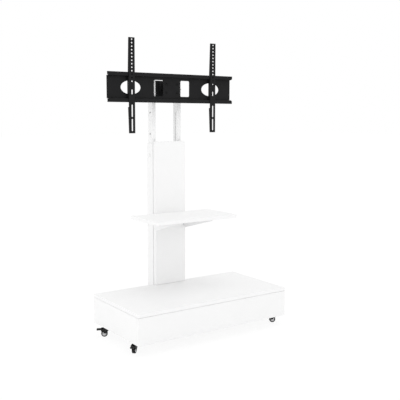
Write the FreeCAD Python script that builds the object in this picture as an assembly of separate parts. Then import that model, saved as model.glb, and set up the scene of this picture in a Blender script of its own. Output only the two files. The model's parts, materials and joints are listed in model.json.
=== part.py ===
import FreeCAD, Part
import math
import os

from FreeCAD import Vector

# Rolling television stand: a low drawer cabinet on four braked casters, a twin-post column that telescopes,
# a cover panel with a shelf, and a swivelling screen mount with two arms that hook over a rail.
# Millimetres, X to the right, Y to the back, Z up. The origin is on the floor under the middle of the stand.
# At rest the drawer is shut, the mount faces the front and the casters trail out to the four corners.

# Fits and shared details
overrun = 5.0                   # how far a cutting tool reaches past the faces that it cuts
seat_clearance = 0.05           # round piece in a round hole that fits it
running_clearance = 0.2         # flat faces that move past each other
board_edge_radius = 0.8         # softened edges of the white boards
slot_round_share = 0.98         # how round a slot's ends are, of half its width
edge_tolerance = 0.001          # how near an edge has to be to count as the one that is meant

# Base cabinet
base_width = 820.0
base_depth = 417.0
base_height = 138.0
board_thickness = 15.0
dowel_radius = 4.0
dowel_in_face = 10.0            # length of a dowel in the board that it meets face on
dowel_in_edge = 18.0            # length of a dowel in the board that it enters by its edge
dowel_end_gap = 1.0
dowel_depth_shares = (0.08, 0.5, 0.92)
dowel_height_shares = (0.3, 0.7)
dowel_width_shares = (0.2, 0.5, 0.8)
side_reveal = 1.0               # shadow gap between the cabinet's sides and its top panel
side_reveal_depth = 3.0

# Drawer
drawer_front_thickness = 16.0
drawer_front_gap = 0.5          # between the drawer front and the cabinet sides
drawer_reveal = 1.0             # shadow gap under the top panel
drawer_board = 12.0
drawer_lift = 6.0               # clear height over the cabinet's bottom panel
drawer_top_room = 16.5          # clear height over the drawer's sides
drawer_rear_room = 36.0         # drawer to the cabinet's back panel
drawer_bottom_thickness = 6.0
drawer_bottom_lift = 5.0        # lower edge of the drawer's sides to its bottom
drawer_groove = 5.0             # how far the bottom reaches into the sides
groove_clearance = 0.2
drawer_screw_radius = 2.0
drawer_screw_head_radius = 4.0
drawer_screw_head_height = 2.0
drawer_screw_bite = 10.0        # length in the second board
drawer_screw_height_shares = (0.35, 0.75)
drawer_front_screw_shares = (-0.7, -0.25, 0.25, 0.7)

# Drawer runners
runner_width = 12.7             # cabinet side to drawer side
runner_height = 35.0
runner_sheet = 1.2
runner_lip_gap = 1.4            # between a flange tip and the facing web
runner_play = 0.4               # between the flanges of the two members
runner_setback = 4.0            # behind the front edge of the cabinet sides
runner_end_gap = 14.0           # runner's end to the drawer's back

# Posts of the column
post_spacing = 145.0            # between the centres of the two posts
outer_post_width = 26.0
outer_post_depth = 54.0
outer_post_length = 825.0
outer_post_lift = 6.0           # above the cabinet's underside
outer_post_corner = 3.0
inner_post_length = 580.0
inner_post_corner = 2.0
post_wall = 1.5
post_side_gap = 1.5             # outer post's wall to the inner post's side
post_front_gap = 5.5            # outer post's wall to the inner post's front or back
post_overlap = 262.0            # length of inner post inside the outer post
bush_length = 60.0
bush_clearance = 0.1
collar_thickness = 3.0
plug_length = 30.0
cap_thickness = 3.0
cap_tongue = 12.0               # length of a cap inside its tube

# Holes of the inner posts
lock_drop = 56.0                # lock bolt below the top of the outer post
lock_pitch = 103.0
lock_steps = (-1, 0, 1, 2)
lock_hole_radius = 4.25
side_slot_width = 3.6
side_slot_drop = 164.0          # below the top of the inner post
side_slot_foot = 86.0           # above the foot of the inner post
front_hole_radius = 1.8
front_hole_rise = 16.0          # above the collar

# Bolts and nuts
bolt_radius = 4.0
bolt_head_radius = 7.5
bolt_head_height = 5.3
bolt_tail = 6.0                 # thread that stands past its nut
nut_height = 6.5
lock_tip_gap = 0.3              # lock bolt's tip to the inner post
post_bolt_height_shares = (0.25, 0.75)

# Cover panel
cover_width = 172.0
cover_rise = 9.0                # panel's top above the posts' collars
cover_foot_gap = 0.6            # panel's foot above the cabinet's top
cover_thickness = 20.0
cover_setback = 26.5            # panel front to the cabinet's back
angle_height = 30.0
angle_sheet = 2.0
angle_post_leg = 34.0
angle_panel_leg = 32.0
angle_height_shares = (0.08, 0.5, 0.94)
small_screw_radius = 2.0
small_screw_head_radius = 4.0
small_screw_head_height = 2.2
cover_screw_bite = 14.0

# Shelf
shelf_width = 450.0
shelf_depth = 240.0
shelf_thickness = 16.0
shelf_rise_share = 0.5053       # of the way up the cover panel, to the shelf's top
shelf_bracket_sheet = 2.5
shelf_bracket_flange = 20.0
shelf_bracket_root = 67.0
shelf_bracket_tip = 5.0
shelf_bracket_setback = 8.0     # bracket tip behind the shelf's front edge
shelf_screw_bite = 11.0
shelf_screw_depth_shares = (0.25, 0.75)
shelf_screw_height_shares = (0.3, 0.72)

# Bracket between the inner posts
mast_bracket_height = 76.0
mast_bracket_depth = 36.0
bracket_plate = 4.0

# Swivel pivot
pivot_drop = 53.3               # the middle of the pivot below the top of the inner posts
pivot_reach = 20.0              # pin to the face of the pivot bracket's plate
head_reach = 17.5               # pin to the face of the swivel head's plate
ear_radius = 14.0
pivot_ear_height = 48.0         # over the outer faces of the pivot bracket's ears
pivot_plate_width = 84.0
pivot_plate_height = 66.0
pivot_bolt_spacing = 50.0
pin_radius = 5.0
pin_head_radius = 8.5
pin_head_height = 4.0
head_plate_width = 84.0
head_plate_height = 72.0
rail_bolt_radius = 3.0
rail_bolt_head_radius = 6.0
rail_bolt_head_height = 3.2
rail_nut_radius = 5.8
rail_nut_height = 5.0
rail_bolt_spacing_x = 60.0
rail_bolt_spacing_z = 40.0

# Mount rail
rail_length = 706.0             # over the lips
rail_lip_overhang = 4.0         # lips past each end of the web
rail_web_height = 105.0
rail_lip_height = 16.2          # lips above and below the web
rail_depth = 17.0
rail_sheet = 2.0
rail_bend_radius = 1.5          # inside of a bend
oval_spacing = 451.0
oval_width = 105.0
oval_height = 63.0
window_spacing = 148.4
window_width = 52.0
window_height = 76.0
window_corner = 6.5

# Screen arms
arm_spacing = 458.6
arm_length = 435.0
arm_rise_share = 0.5156         # of the arm's length, above the middle of the rail
arm_width = 31.5
arm_sheet = 2.0
arm_bend_radius = 1.8           # outside of the bend along each edge of the face
arm_standoff = 3.0              # back of the arm's face to the rail's lips
arm_end_depth = 5.0
arm_rail_depth = 12.0
arm_web_gap = 2.5               # flanges between the lips to the rail's web
hook_clearance = 0.4
hook_depth = 4.5                # hook behind the upper lip
hook_reach = 10.0               # hook below the top of the upper lip
lift_notch = 22.0               # free height under the lower lip
arm_hole_radius = 3.6
arm_hole_count = 13
arm_hole_first_share = 0.02     # of the arm's length, from its top, as for all the arm's openings
arm_hole_pitch_share = 0.0361
arm_slot_width = 7.0
arm_slot_start_shares = (0.5394, 0.6968, 0.8472)
arm_slot_length_shares = (0.0532, 0.1308, 0.1308)

# Casters
caster_inset_x = 31.0           # swivel axis to the cabinet's side
caster_inset_y = 82.0           # swivel axis to the cabinet's front or back
caster_plate_thickness = 2.5
caster_plate_corner = 4.0
caster_screw_inset = 5.5        # plate's edge to the screws
caster_screw_gap = 1.1          # screw heads to the fork's crown, which turns between them
caster_screw_bite = 12.0
king_pin_radius = 5.0
king_pin_head_radius = 7.0
king_pin_head_height = 2.0
wheel_radius = 15.0
tyre_width = 14.5
tyre_thickness = 5.5
tyre_shoulder = 2.5
core_rim_width = 13.5
core_rim_thickness = 1.5
core_web_width = 10.0
core_hub_radius = 5.0
axle_radius = 2.5
axle_tail = 1.0                 # axle stub past the fork's leg
caster_trail = 18.0
fork_gap = 1.0                  # tyre to leg
fork_head_room = 3.0            # tyre's top to the crown
fork_leg_thickness = 2.5
fork_crown_thickness = 7.0
fork_race_height = 7.8          # bearing race on the crown, higher than the heads of the plate screws
fork_crown_radius = 14.0
fork_crown_lap = 6.0            # the legs' cheeks past the pedal's hinge
fork_leg_foot_radius = 5.0
fork_cheek_height = 7.0         # legs under the crown where they hold the pedal
pedal_pin_radius = 1.5
pedal_barrel_radius = 2.6
pedal_pivot_lead = 10.0         # pedal's hinge past the axle
pedal_pivot_rise_share = 0.36   # of the crown's thickness, hinge above its underside
pedal_crown_gap = 3.0           # hinge barrel to the crown's end
pedal_side_play = 0.5
pedal_reach = 26.0              # hinge to the pedal's tip
pedal_thickness = 7.0
pedal_fall = 1.2                # tip below the hinge
pedal_shoe_gap = 1.2            # brake shoe to the tyre
pedal_shoe_thickness = 4.0

# Sizes that follow from the ones above
base_clearance = (2 * wheel_radius + fork_head_room + fork_crown_thickness + fork_race_height
                  + running_clearance + caster_plate_thickness)
drawer_height = base_height - 2 * board_thickness - drawer_lift - drawer_top_room
drawer_depth = base_depth - drawer_front_thickness - board_thickness - drawer_rear_room
runner_length = drawer_depth - drawer_front_gap - runner_setback - runner_end_gap
inner_post_width = outer_post_width - 2 * (post_wall + post_side_gap)
inner_post_depth = outer_post_depth - 2 * (post_wall + post_front_gap)
side_slot_length = inner_post_length - side_slot_drop - side_slot_foot
rail_web_length = rail_length - 2 * rail_lip_overhang
rail_height = rail_web_height + 2 * rail_lip_height
arm_rise = arm_rise_share * arm_length
arm_recess_depth = arm_sheet + arm_standoff + rail_depth - rail_sheet - arm_web_gap
caster_screw_spacing = (fork_crown_radius + caster_screw_gap + small_screw_head_radius) * math.sqrt(2)
caster_plate_size = caster_screw_spacing + 2 * caster_screw_inset
pedal_pivot_reach = caster_trail + pedal_pivot_lead
fork_crown_end = pedal_pivot_reach - pedal_barrel_radius - pedal_crown_gap
fork_cheek_end = pedal_pivot_reach + fork_crown_lap

# Places that several pieces share
total_depth = base_depth + outer_post_depth + bolt_head_height
front_y = -total_depth / 2
base_back_y = front_y + base_depth
base_top_z = base_clearance + base_height
carcass_top_z = base_top_z - board_thickness
carcass_front_y = front_y + drawer_front_thickness + drawer_front_gap
carcass_inner_x = base_width / 2 - board_thickness
post_x = post_spacing / 2
post_y = base_back_y + outer_post_depth / 2
outer_post_foot_z = base_clearance + outer_post_lift
outer_post_top_z = outer_post_foot_z + outer_post_length
collar_top_z = outer_post_top_z + collar_thickness
inner_post_foot_z = outer_post_top_z - post_overlap
inner_post_top_z = inner_post_foot_z + inner_post_length
inner_front_y = post_y - inner_post_depth / 2
lock_z = outer_post_top_z - lock_drop
cover_front_y = base_back_y - cover_setback
cover_back_y = cover_front_y + cover_thickness
cover_top_z = collar_top_z + cover_rise
shelf_top_z = base_top_z + shelf_rise_share * (cover_top_z - base_top_z)
shelf_bottom_z = shelf_top_z - shelf_thickness
pivot_z = inner_post_top_z - pivot_drop
pivot_y = inner_front_y - bracket_plate - pivot_reach
head_back_y = pivot_y - head_reach
web_back_y = head_back_y - bracket_plate
web_front_y = web_back_y - rail_sheet
lip_front_y = web_back_y - rail_depth
arm_face_y = lip_front_y - arm_standoff - arm_sheet
caster_x = base_width / 2 - caster_inset_x
caster_front_y = front_y + caster_inset_y
caster_back_y = base_back_y - caster_inset_y

RIGHT = Vector(1, 0, 0)
BACK = Vector(0, 1, 0)
UP = Vector(0, 0, 1)


# Shape helpers

def box(x_low, x_high, y_low, y_high, z_low, z_high):
    """A block between two corners."""
    return Part.makeBox(x_high - x_low, y_high - y_low, z_high - z_low, Vector(x_low, y_low, z_low))


def rod(radius, start, direction, length):
    """A round bar from a point along a direction."""
    return Part.makeCylinder(radius, length, start, direction)


def rounded(shape, radius, axis=None):
    """Round every straight edge, or only the edges that run along one axis."""
    edges = shape.Edges
    if axis is not None:
        edges = [edge for edge in edges
                 if abs(abs(edge.tangentAt(edge.FirstParameter).dot(axis)) - 1) < edge_tolerance]
    return shape.makeFillet(radius, edges)


def bend(shape, radius, axis, places):
    """Round the edges that run along an axis through the given places."""
    edges = [edge for edge in shape.Edges
             if any((edge.CenterOfMass - place).cross(axis).Length < edge_tolerance for place in places)
             and abs(abs(edge.tangentAt(edge.FirstParameter).dot(axis)) - 1) < edge_tolerance]
    return shape.makeFillet(radius, edges)


def board(x_low, x_high, y_low, y_high, z_low, z_high):
    """A furniture board with softened edges."""
    return rounded(box(x_low, x_high, y_low, y_high, z_low, z_high), board_edge_radius)


def prism(points, direction):
    """A flat outline pushed along a vector."""
    outline = Part.makePolygon(points + points[:1])
    return Part.Face(outline).extrude(direction)


def joined(shapes):
    """Several shapes as one solid."""
    first = shapes[0]
    return first.fuse(shapes[1:]).removeSplitter()


def drilled(shape, tools):
    """A shape with all the tools cut out of it."""
    return shape.cut(tools).removeSplitter() if tools else shape


def hexagon(radius, start, direction, length):
    """A hexagonal bar from a point along a direction."""
    corners = [Vector(radius * math.cos(i * math.pi / 3), radius * math.sin(i * math.pi / 3), 0) for i in range(6)]
    bar = prism(corners, UP * length)
    bar.Placement = FreeCAD.Placement(start, FreeCAD.Rotation(UP, direction))
    return bar


def headed_bolt(start, direction, length, radius, head_radius, head_height):
    """A hexagon bolt whose head seats at the start point."""
    head = hexagon(head_radius, start - direction * head_height, direction, head_height)
    return joined([head, rod(radius, start, direction, length)])


def pan_screw(start, direction, length, radius, head_radius, head_height):
    """A round-headed screw whose head seats at the start point."""
    head = rod(head_radius, start - direction * head_height, direction, head_height)
    return joined([head, rod(radius, start, direction, length)])


def nut(start, direction, hole_radius, radius, height):
    """A hexagon nut with its bore."""
    bore = rod(hole_radius, start - direction * overrun, direction, height + 2 * overrun)
    return hexagon(radius, start, direction, height).cut(bore)


def post_block(width, depth, corner, side, z_low, z_high):
    """An upright block with rounded corners on the axis of the left (-1) or right (1) post."""
    x = side * post_x
    block = box(x - width / 2, x + width / 2, post_y - depth / 2, post_y + depth / 2, z_low, z_high)
    return rounded(block, corner, UP)


def mirrored(shape):
    """The same shape on the other side of the stand's middle plane."""
    return shape.mirror(Vector(0, 0, 0), RIGHT)


# Base cabinet

def dowel_joints():
    """Point on each board joint and the direction into the board that is met face on."""
    joints = []
    carcass_depth = base_back_y - carcass_front_y
    side_middle = base_width / 2 - board_thickness / 2
    bottom_middle = base_clearance + board_thickness / 2
    back_middle = base_back_y - board_thickness / 2
    inner_height = carcass_top_z - base_clearance - board_thickness
    for share in dowel_depth_shares:
        y = carcass_front_y + share * carcass_depth
        for side in (-1, 1):
            joints.append((Vector(side * side_middle, y, carcass_top_z), UP))
            joints.append((Vector(side * carcass_inner_x, y, bottom_middle), RIGHT * side))
    for share in dowel_height_shares:
        z = base_clearance + board_thickness + share * inner_height
        for side in (-1, 1):
            joints.append((Vector(side * carcass_inner_x, back_middle, z), RIGHT * side))
    for share in dowel_width_shares:
        x = (2 * share - 1) * carcass_inner_x
        joints.append((Vector(x, back_middle, carcass_top_z), UP))
    return joints


def dowel(joint, radius, end_gap):
    """One dowel, or its hole when a clearance is added."""
    point, direction = joint
    start = point - direction * (dowel_in_edge + end_gap)
    return rod(radius, start, direction, dowel_in_edge + dowel_in_face + 2 * end_gap)


def dowel_holes():
    return [dowel(joint, dowel_radius + seat_clearance, dowel_end_gap) for joint in dowel_joints()]


def carcass_dowels():
    return Part.makeCompound([dowel(joint, dowel_radius, 0) for joint in dowel_joints()])


def base_top_panel():
    half = base_width / 2
    return drilled(board(-half, half, front_y, base_back_y, carcass_top_z, base_top_z), dowel_holes())


def base_side(side):
    inner = side * carcass_inner_x
    outer = side * base_width / 2
    x_low, x_high = min(inner, outer), max(inner, outer)
    panel = board(x_low, x_high, carcass_front_y, base_back_y, base_clearance, carcass_top_z)
    reveal_x = outer - side * side_reveal_depth
    past_x = outer + side * overrun
    reveal = box(min(reveal_x, past_x), max(reveal_x, past_x), carcass_front_y - overrun, base_back_y + overrun,
                 carcass_top_z - side_reveal, carcass_top_z + overrun)
    return drilled(panel, [reveal] + dowel_holes() + caster_screw_holes())


def post_bolt_places():
    """Seat of each bolt's head on the back of the outer posts."""
    heights = [base_clearance + board_thickness + share * (carcass_top_z - base_clearance - board_thickness)
               for share in post_bolt_height_shares]
    return [Vector(side * post_x, base_back_y + outer_post_depth, z) for side in (-1, 1) for z in heights]


def post_bolt_length():
    return outer_post_depth + board_thickness + nut_height + bolt_tail


def post_bolt_holes():
    return [rod(bolt_radius + seat_clearance, place + BACK * overrun, -BACK, post_bolt_length() + 2 * overrun)
            for place in post_bolt_places()]


def base_back_panel():
    panel = box(-carcass_inner_x, carcass_inner_x, base_back_y - board_thickness, base_back_y,
                base_clearance + board_thickness, carcass_top_z)
    return drilled(panel, dowel_holes() + post_bolt_holes())


def base_bottom_panel():
    panel = box(-carcass_inner_x, carcass_inner_x, carcass_front_y, base_back_y,
                base_clearance, base_clearance + board_thickness)
    return drilled(panel, dowel_holes() + caster_screw_holes())


def post_base_bolts():
    """Long bolts through the outer posts and the cabinet's back, each with its nut inside."""
    pieces = []
    for place in post_bolt_places():
        pieces.append(headed_bolt(place, -BACK, post_bolt_length(), bolt_radius, bolt_head_radius, bolt_head_height))
        seat = place - BACK * (outer_post_depth + board_thickness)
        pieces.append(nut(seat, -BACK, bolt_radius + seat_clearance, bolt_head_radius, nut_height))
    return Part.makeCompound(pieces)


# Drawer and its runners

drawer_side_x = carcass_inner_x - runner_width
drawer_start_y = front_y + drawer_front_thickness
drawer_end_y = drawer_start_y + drawer_depth
drawer_low_z = base_clearance + board_thickness + drawer_lift
drawer_high_z = drawer_low_z + drawer_height
drawer_floor_z = drawer_low_z + drawer_bottom_lift
runner_y = carcass_front_y + runner_setback
runner_z = (drawer_low_z + drawer_high_z) / 2


def drawer_box_screws():
    """Seat and direction of the screws that hold the drawer together."""
    places = []
    for share in drawer_screw_height_shares:
        z = drawer_low_z + share * drawer_height
        for side in (-1, 1):
            for y in (drawer_start_y + drawer_board / 2, drawer_end_y - drawer_board / 2):
                places.append((Vector(side * drawer_side_x, y, z), RIGHT * -side, True))
    for share in drawer_front_screw_shares:
        place = Vector(share * drawer_side_x, drawer_start_y + drawer_board, runner_z)
        places.append((place, -BACK, False))
    return places


def drawer_screw(place, direction, sunk):
    """A screw whose head lies in the board if sunk, or on it."""
    depth = drawer_screw_head_height if sunk else 0
    length = drawer_board - depth + drawer_screw_bite
    return pan_screw(place + direction * depth, direction, length, drawer_screw_radius,
                     drawer_screw_head_radius, drawer_screw_head_height)


def drawer_screw_holes():
    """Holes for the screws, with the seats of the sunk heads."""
    holes = []
    for place, direction, sunk in drawer_box_screws():
        reach = drawer_board + drawer_screw_bite
        holes.append(rod(drawer_screw_radius + seat_clearance, place, direction, reach))
        if sunk:
            seat = drawer_screw_head_radius + seat_clearance
            holes.append(rod(seat, place - direction * overrun, direction, overrun + drawer_screw_head_height))
    return holes


def drawer_screws():
    return Part.makeCompound([drawer_screw(*place) for place in drawer_box_screws()])


def drawer_front():
    half = base_width / 2
    panel = board(-half, half, front_y, drawer_start_y, base_clearance, carcass_top_z - drawer_reveal)
    return drilled(panel, drawer_screw_holes())


def drawer_bottom_space(clearance):
    """The drawer's bottom, or the grooves that it lies in when a clearance is added."""
    half = drawer_side_x - drawer_board + drawer_groove + clearance
    return box(-half, half, drawer_start_y + drawer_board - drawer_groove - clearance,
               drawer_end_y - drawer_board + drawer_groove + clearance,
               drawer_floor_z - clearance, drawer_floor_z + drawer_bottom_thickness + clearance)


def drawer_bottom():
    return drawer_bottom_space(0)


def drawer_wall(x_low, x_high, y_low, y_high):
    """One wall of the drawer's box, grooved for the bottom."""
    wall = box(x_low, x_high, y_low, y_high, drawer_low_z, drawer_high_z)
    return drilled(wall, drawer_screw_holes() + [drawer_bottom_space(groove_clearance)])


def drawer_side(side):
    inner = side * (drawer_side_x - drawer_board)
    outer = side * drawer_side_x
    return drawer_wall(min(inner, outer), max(inner, outer), drawer_start_y, drawer_end_y)


def drawer_cross_wall(y_low):
    half = drawer_side_x - drawer_board
    return drawer_wall(-half, half, y_low, y_low + drawer_board)


def runner_channel(web_x, tip_x, height):
    """A channel along Y whose web is at one x and whose flanges end at the other."""
    step = runner_sheet if tip_x > web_x else -runner_sheet
    low = runner_z - height / 2
    high = runner_z + height / 2
    spans = ((web_x, web_x + step, low, high),
             (web_x, tip_x, low, low + runner_sheet),
             (web_x, tip_x, high - runner_sheet, high))
    walls = [box(min(a, b), max(a, b), runner_y, runner_y + runner_length, c, d) for a, b, c, d in spans]
    return joined(walls)


def runner_outer_members():
    """Channels on the cabinet's sides, open towards the drawer."""
    tip = drawer_side_x + runner_sheet + runner_lip_gap
    left = runner_channel(-carcass_inner_x, -tip, runner_height)
    return Part.makeCompound([left, mirrored(left)])


def runner_inner_members():
    """Channels on the drawer's sides, running inside the outer members."""
    tip = carcass_inner_x - runner_sheet - runner_lip_gap
    height = runner_height - 2 * runner_sheet - 2 * runner_play
    left = runner_channel(-drawer_side_x, -tip, height)
    return Part.makeCompound([left, mirrored(left)])


# Posts of the column

def angle_places():
    """Middle of each cover bracket's corner, where post and panel meet, with its side."""
    heights = [base_top_z + share * (outer_post_top_z - base_top_z) for share in angle_height_shares]
    inner_x = post_x - outer_post_width / 2
    return [(side, Vector(side * inner_x, cover_back_y, z)) for side in (-1, 1) for z in heights]


def angle_post_screw_place(side, corner):
    """Seat of the screw that holds a bracket to its post."""
    return Vector(corner.x - side * angle_sheet, post_y, corner.z)


def angle_panel_screw_place(side, corner):
    """Seat of the screw that holds a bracket to the panel."""
    return Vector(corner.x - side * (angle_panel_leg + angle_sheet) / 2, corner.y + angle_sheet, corner.z)


def angle_screw_holes():
    holes = []
    radius = small_screw_radius + seat_clearance
    for side, corner in angle_places():
        holes.append(rod(radius, angle_post_screw_place(side, corner), RIGHT * side, angle_sheet + post_wall))
        panel_place = angle_panel_screw_place(side, corner)
        holes.append(rod(radius, panel_place, -BACK, angle_sheet + cover_screw_bite))
    return holes


def lock_bolt_place(side):
    """Seat of a lock bolt's head on the outer side of its outer post."""
    return Vector(side * (post_x + outer_post_width / 2), post_y, lock_z)


def lock_bolt_length():
    return (outer_post_width - inner_post_width) / 2 - lock_tip_gap


def outer_post(side):
    tube = post_block(outer_post_width, outer_post_depth, outer_post_corner, side,
                      outer_post_foot_z, outer_post_top_z)
    bore = post_block(outer_post_width - 2 * post_wall, outer_post_depth - 2 * post_wall,
                      outer_post_corner - post_wall, side, outer_post_foot_z - overrun, outer_post_top_z + overrun)
    lock_hole = rod(bolt_radius + seat_clearance, lock_bolt_place(side), RIGHT * -side, lock_bolt_length())
    return drilled(tube, [bore, lock_hole] + post_bolt_holes() + angle_screw_holes())


def guide_bush(side):
    """A liner in the top of the outer post with a collar on its rim."""
    gap = 2 * (post_wall + bush_clearance)
    liner = post_block(outer_post_width - gap, outer_post_depth - gap, outer_post_corner - post_wall, side,
                       outer_post_top_z - bush_length, outer_post_top_z)
    collar = post_block(outer_post_width, outer_post_depth, outer_post_corner, side, outer_post_top_z, collar_top_z)
    bore = post_block(inner_post_width + 2 * running_clearance, inner_post_depth + 2 * running_clearance,
                      inner_post_corner, side, outer_post_top_z - bush_length - overrun, collar_top_z + overrun)
    lock_hole = rod(bolt_radius + seat_clearance, lock_bolt_place(side), RIGHT * -side, outer_post_width / 2)
    return drilled(joined([liner, collar]), [bore, lock_hole])


def post_guide_bushes():
    return Part.makeCompound([guide_bush(-1), guide_bush(1)])


def end_cap(width, depth, corner, side, rim_z, inward):
    """A cap on a tube's rim with a tongue in its bore; inward is 1 for a foot cap and -1 for a top cap."""
    plate_z = sorted((rim_z, rim_z - inward * cap_thickness))
    tongue_z = sorted((rim_z, rim_z + inward * cap_tongue))
    gap = 2 * (post_wall + bush_clearance)
    plate = post_block(width, depth, corner, side, *plate_z)
    tongue = post_block(width - gap, depth - gap, corner - post_wall, side, *tongue_z)
    return joined([plate, tongue])


def post_foot_caps():
    return Part.makeCompound([end_cap(outer_post_width, outer_post_depth, outer_post_corner, side,
                                      outer_post_foot_z, 1) for side in (-1, 1)])


def post_top_caps():
    return Part.makeCompound([end_cap(inner_post_width, inner_post_depth, inner_post_corner, side,
                                      inner_post_top_z, -1) for side in (-1, 1)])


def height_lock_bolts():
    return Part.makeCompound([headed_bolt(lock_bolt_place(side), RIGHT * -side, lock_bolt_length(),
                                          bolt_radius, bolt_head_radius, bolt_head_height) for side in (-1, 1)])


def mast_bolt_seat(side):
    """Where a bracket bolt's head seats, on the inner face of the mast bracket's flange."""
    return Vector(side * (post_x - inner_post_width / 2 - bracket_plate), post_y, pivot_z)


def mast_bolt_length():
    return bracket_plate + inner_post_width + nut_height + bolt_tail


def mast_bolt_holes():
    return [rod(bolt_radius + seat_clearance, mast_bolt_seat(side), RIGHT * side, mast_bolt_length())
            for side in (-1, 1)]


def inner_post(side):
    tube = post_block(inner_post_width, inner_post_depth, inner_post_corner, side,
                      inner_post_foot_z, inner_post_top_z)
    bore = post_block(inner_post_width - 2 * post_wall, inner_post_depth - 2 * post_wall,
                      inner_post_corner - post_wall, side, inner_post_foot_z - overrun, inner_post_top_z + overrun)
    outer_x = side * (post_x + inner_post_width / 2 + overrun)
    inner_x = side * (post_x - inner_post_width / 2 - overrun)
    holes = [rod(lock_hole_radius, Vector(outer_x, post_y, lock_z + step * lock_pitch), RIGHT * -side,
                 overrun + inner_post_width / 2) for step in lock_steps]
    front_hole = rod(front_hole_radius, Vector(side * post_x, inner_front_y - overrun, collar_top_z + front_hole_rise),
                     BACK, overrun + inner_post_depth / 2)
    slot_top = inner_post_top_z - side_slot_drop
    slot = box(min(inner_x, side * post_x), max(inner_x, side * post_x), post_y - side_slot_width / 2,
               post_y + side_slot_width / 2, slot_top - side_slot_length, slot_top)
    slot = rounded(slot, slot_round_share * side_slot_width / 2, RIGHT)
    return drilled(tube, [bore, front_hole, slot] + holes + mast_bolt_holes())


def slide_plug(side):
    """A plug in the foot of the inner post that runs in the outer post's bore."""
    width = outer_post_width - 2 * post_wall - 2 * running_clearance
    depth = outer_post_depth - 2 * post_wall - 2 * running_clearance
    block = post_block(width, depth, outer_post_corner - post_wall, side,
                       inner_post_foot_z - plug_length, inner_post_foot_z)
    gap = 2 * (post_wall + bush_clearance)
    tongue = post_block(inner_post_width - gap, inner_post_depth - gap, inner_post_corner - post_wall, side,
                        inner_post_foot_z, inner_post_foot_z + cap_tongue)
    return joined([block, tongue])


def post_slide_plugs():
    return Part.makeCompound([slide_plug(-1), slide_plug(1)])


# Cover panel and shelf

def column_cover_panel():
    half = cover_width / 2
    panel = board(-half, half, cover_front_y, cover_back_y, base_top_z + cover_foot_gap, cover_top_z)
    return drilled(panel, angle_screw_holes() + shelf_screw_holes())


def cover_angle(side, corner):
    """A small angle with one leg on the post's inner side and one on the panel's back."""
    z_low, z_high = corner.z - angle_height / 2, corner.z + angle_height / 2
    legs = []
    for leg_x, leg_y in ((angle_sheet, cover_setback - cover_thickness + angle_post_leg), (angle_panel_leg, angle_sheet)):
        x_end = corner.x - side * leg_x
        legs.append(box(min(corner.x, x_end), max(corner.x, x_end), corner.y, corner.y + leg_y, z_low, z_high))
    return drilled(joined(legs), angle_screw_holes())


def cover_brackets():
    return Part.makeCompound([cover_angle(side, corner) for side, corner in angle_places()])


def cover_screws():
    screws = []
    for side, corner in angle_places():
        for place, direction, bite in ((angle_post_screw_place(side, corner), RIGHT * side, post_wall),
                                       (angle_panel_screw_place(side, corner), -BACK, cover_screw_bite)):
            screws.append(pan_screw(place, direction, angle_sheet + bite, small_screw_radius,
                                    small_screw_head_radius, small_screw_head_height))
    return Part.makeCompound(screws)


def shelf_screw_places():
    """Seat and direction of each screw in the shelf brackets' flanges."""
    places = []
    flange_x = cover_width / 2 - shelf_bracket_sheet - (shelf_bracket_flange - shelf_bracket_sheet) / 2
    run = shelf_depth - shelf_bracket_setback
    for side in (-1, 1):
        for share in shelf_screw_depth_shares:
            y = cover_front_y - share * run
            places.append((Vector(side * flange_x, y, shelf_bottom_z - shelf_bracket_sheet), UP))
        for share in shelf_screw_height_shares:
            z = shelf_bottom_z - share * shelf_bracket_root
            places.append((Vector(side * flange_x, cover_front_y - shelf_bracket_sheet, z), BACK))
    return places


def shelf_screw_holes():
    return [rod(small_screw_radius + seat_clearance, place, direction, shelf_bracket_sheet + shelf_screw_bite)
            for place, direction in shelf_screw_places()]


def shelf_screws():
    return Part.makeCompound([pan_screw(place, direction, shelf_bracket_sheet + shelf_screw_bite, small_screw_radius,
                                        small_screw_head_radius, small_screw_head_height)
                              for place, direction in shelf_screw_places()])


def shelf_board():
    half = shelf_width / 2
    panel = board(-half, half, cover_front_y - shelf_depth, cover_front_y, shelf_bottom_z, shelf_top_z)
    return drilled(panel, shelf_screw_holes())


def shelf_bracket(side):
    """A folded triangular bracket: web, flange under the shelf and flange on the panel."""
    outer_x = side * cover_width / 2
    tip_y = cover_front_y - shelf_depth + shelf_bracket_setback
    outline = [Vector(outer_x, cover_front_y, shelf_bottom_z),
               Vector(outer_x, tip_y, shelf_bottom_z),
               Vector(outer_x, tip_y, shelf_bottom_z - shelf_bracket_tip),
               Vector(outer_x, cover_front_y, shelf_bottom_z - shelf_bracket_root)]
    web = prism(outline, RIGHT * (-side * shelf_bracket_sheet))
    inner_x = outer_x - side * shelf_bracket_flange
    x_low, x_high = min(inner_x, outer_x), max(inner_x, outer_x)
    top_flange = box(x_low, x_high, tip_y, cover_front_y, shelf_bottom_z - shelf_bracket_sheet, shelf_bottom_z)
    back_flange = box(x_low, x_high, cover_front_y - shelf_bracket_sheet, cover_front_y,
                      shelf_bottom_z - shelf_bracket_root, shelf_bottom_z)
    return drilled(joined([web, top_flange, back_flange]), shelf_screw_holes())


# Bracket between the posts and swivel pivot

def pivot_bolt_places():
    """Seat of each bolt's head on the pivot bracket's plate."""
    return [Vector(side * pivot_bolt_spacing / 2, inner_front_y - bracket_plate, pivot_z) for side in (-1, 1)]


def pivot_bolt_length():
    return 2 * bracket_plate + nut_height + bolt_tail


def pivot_bolt_holes():
    return [rod(bolt_radius + seat_clearance, place, BACK, pivot_bolt_length()) for place in pivot_bolt_places()]


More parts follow.
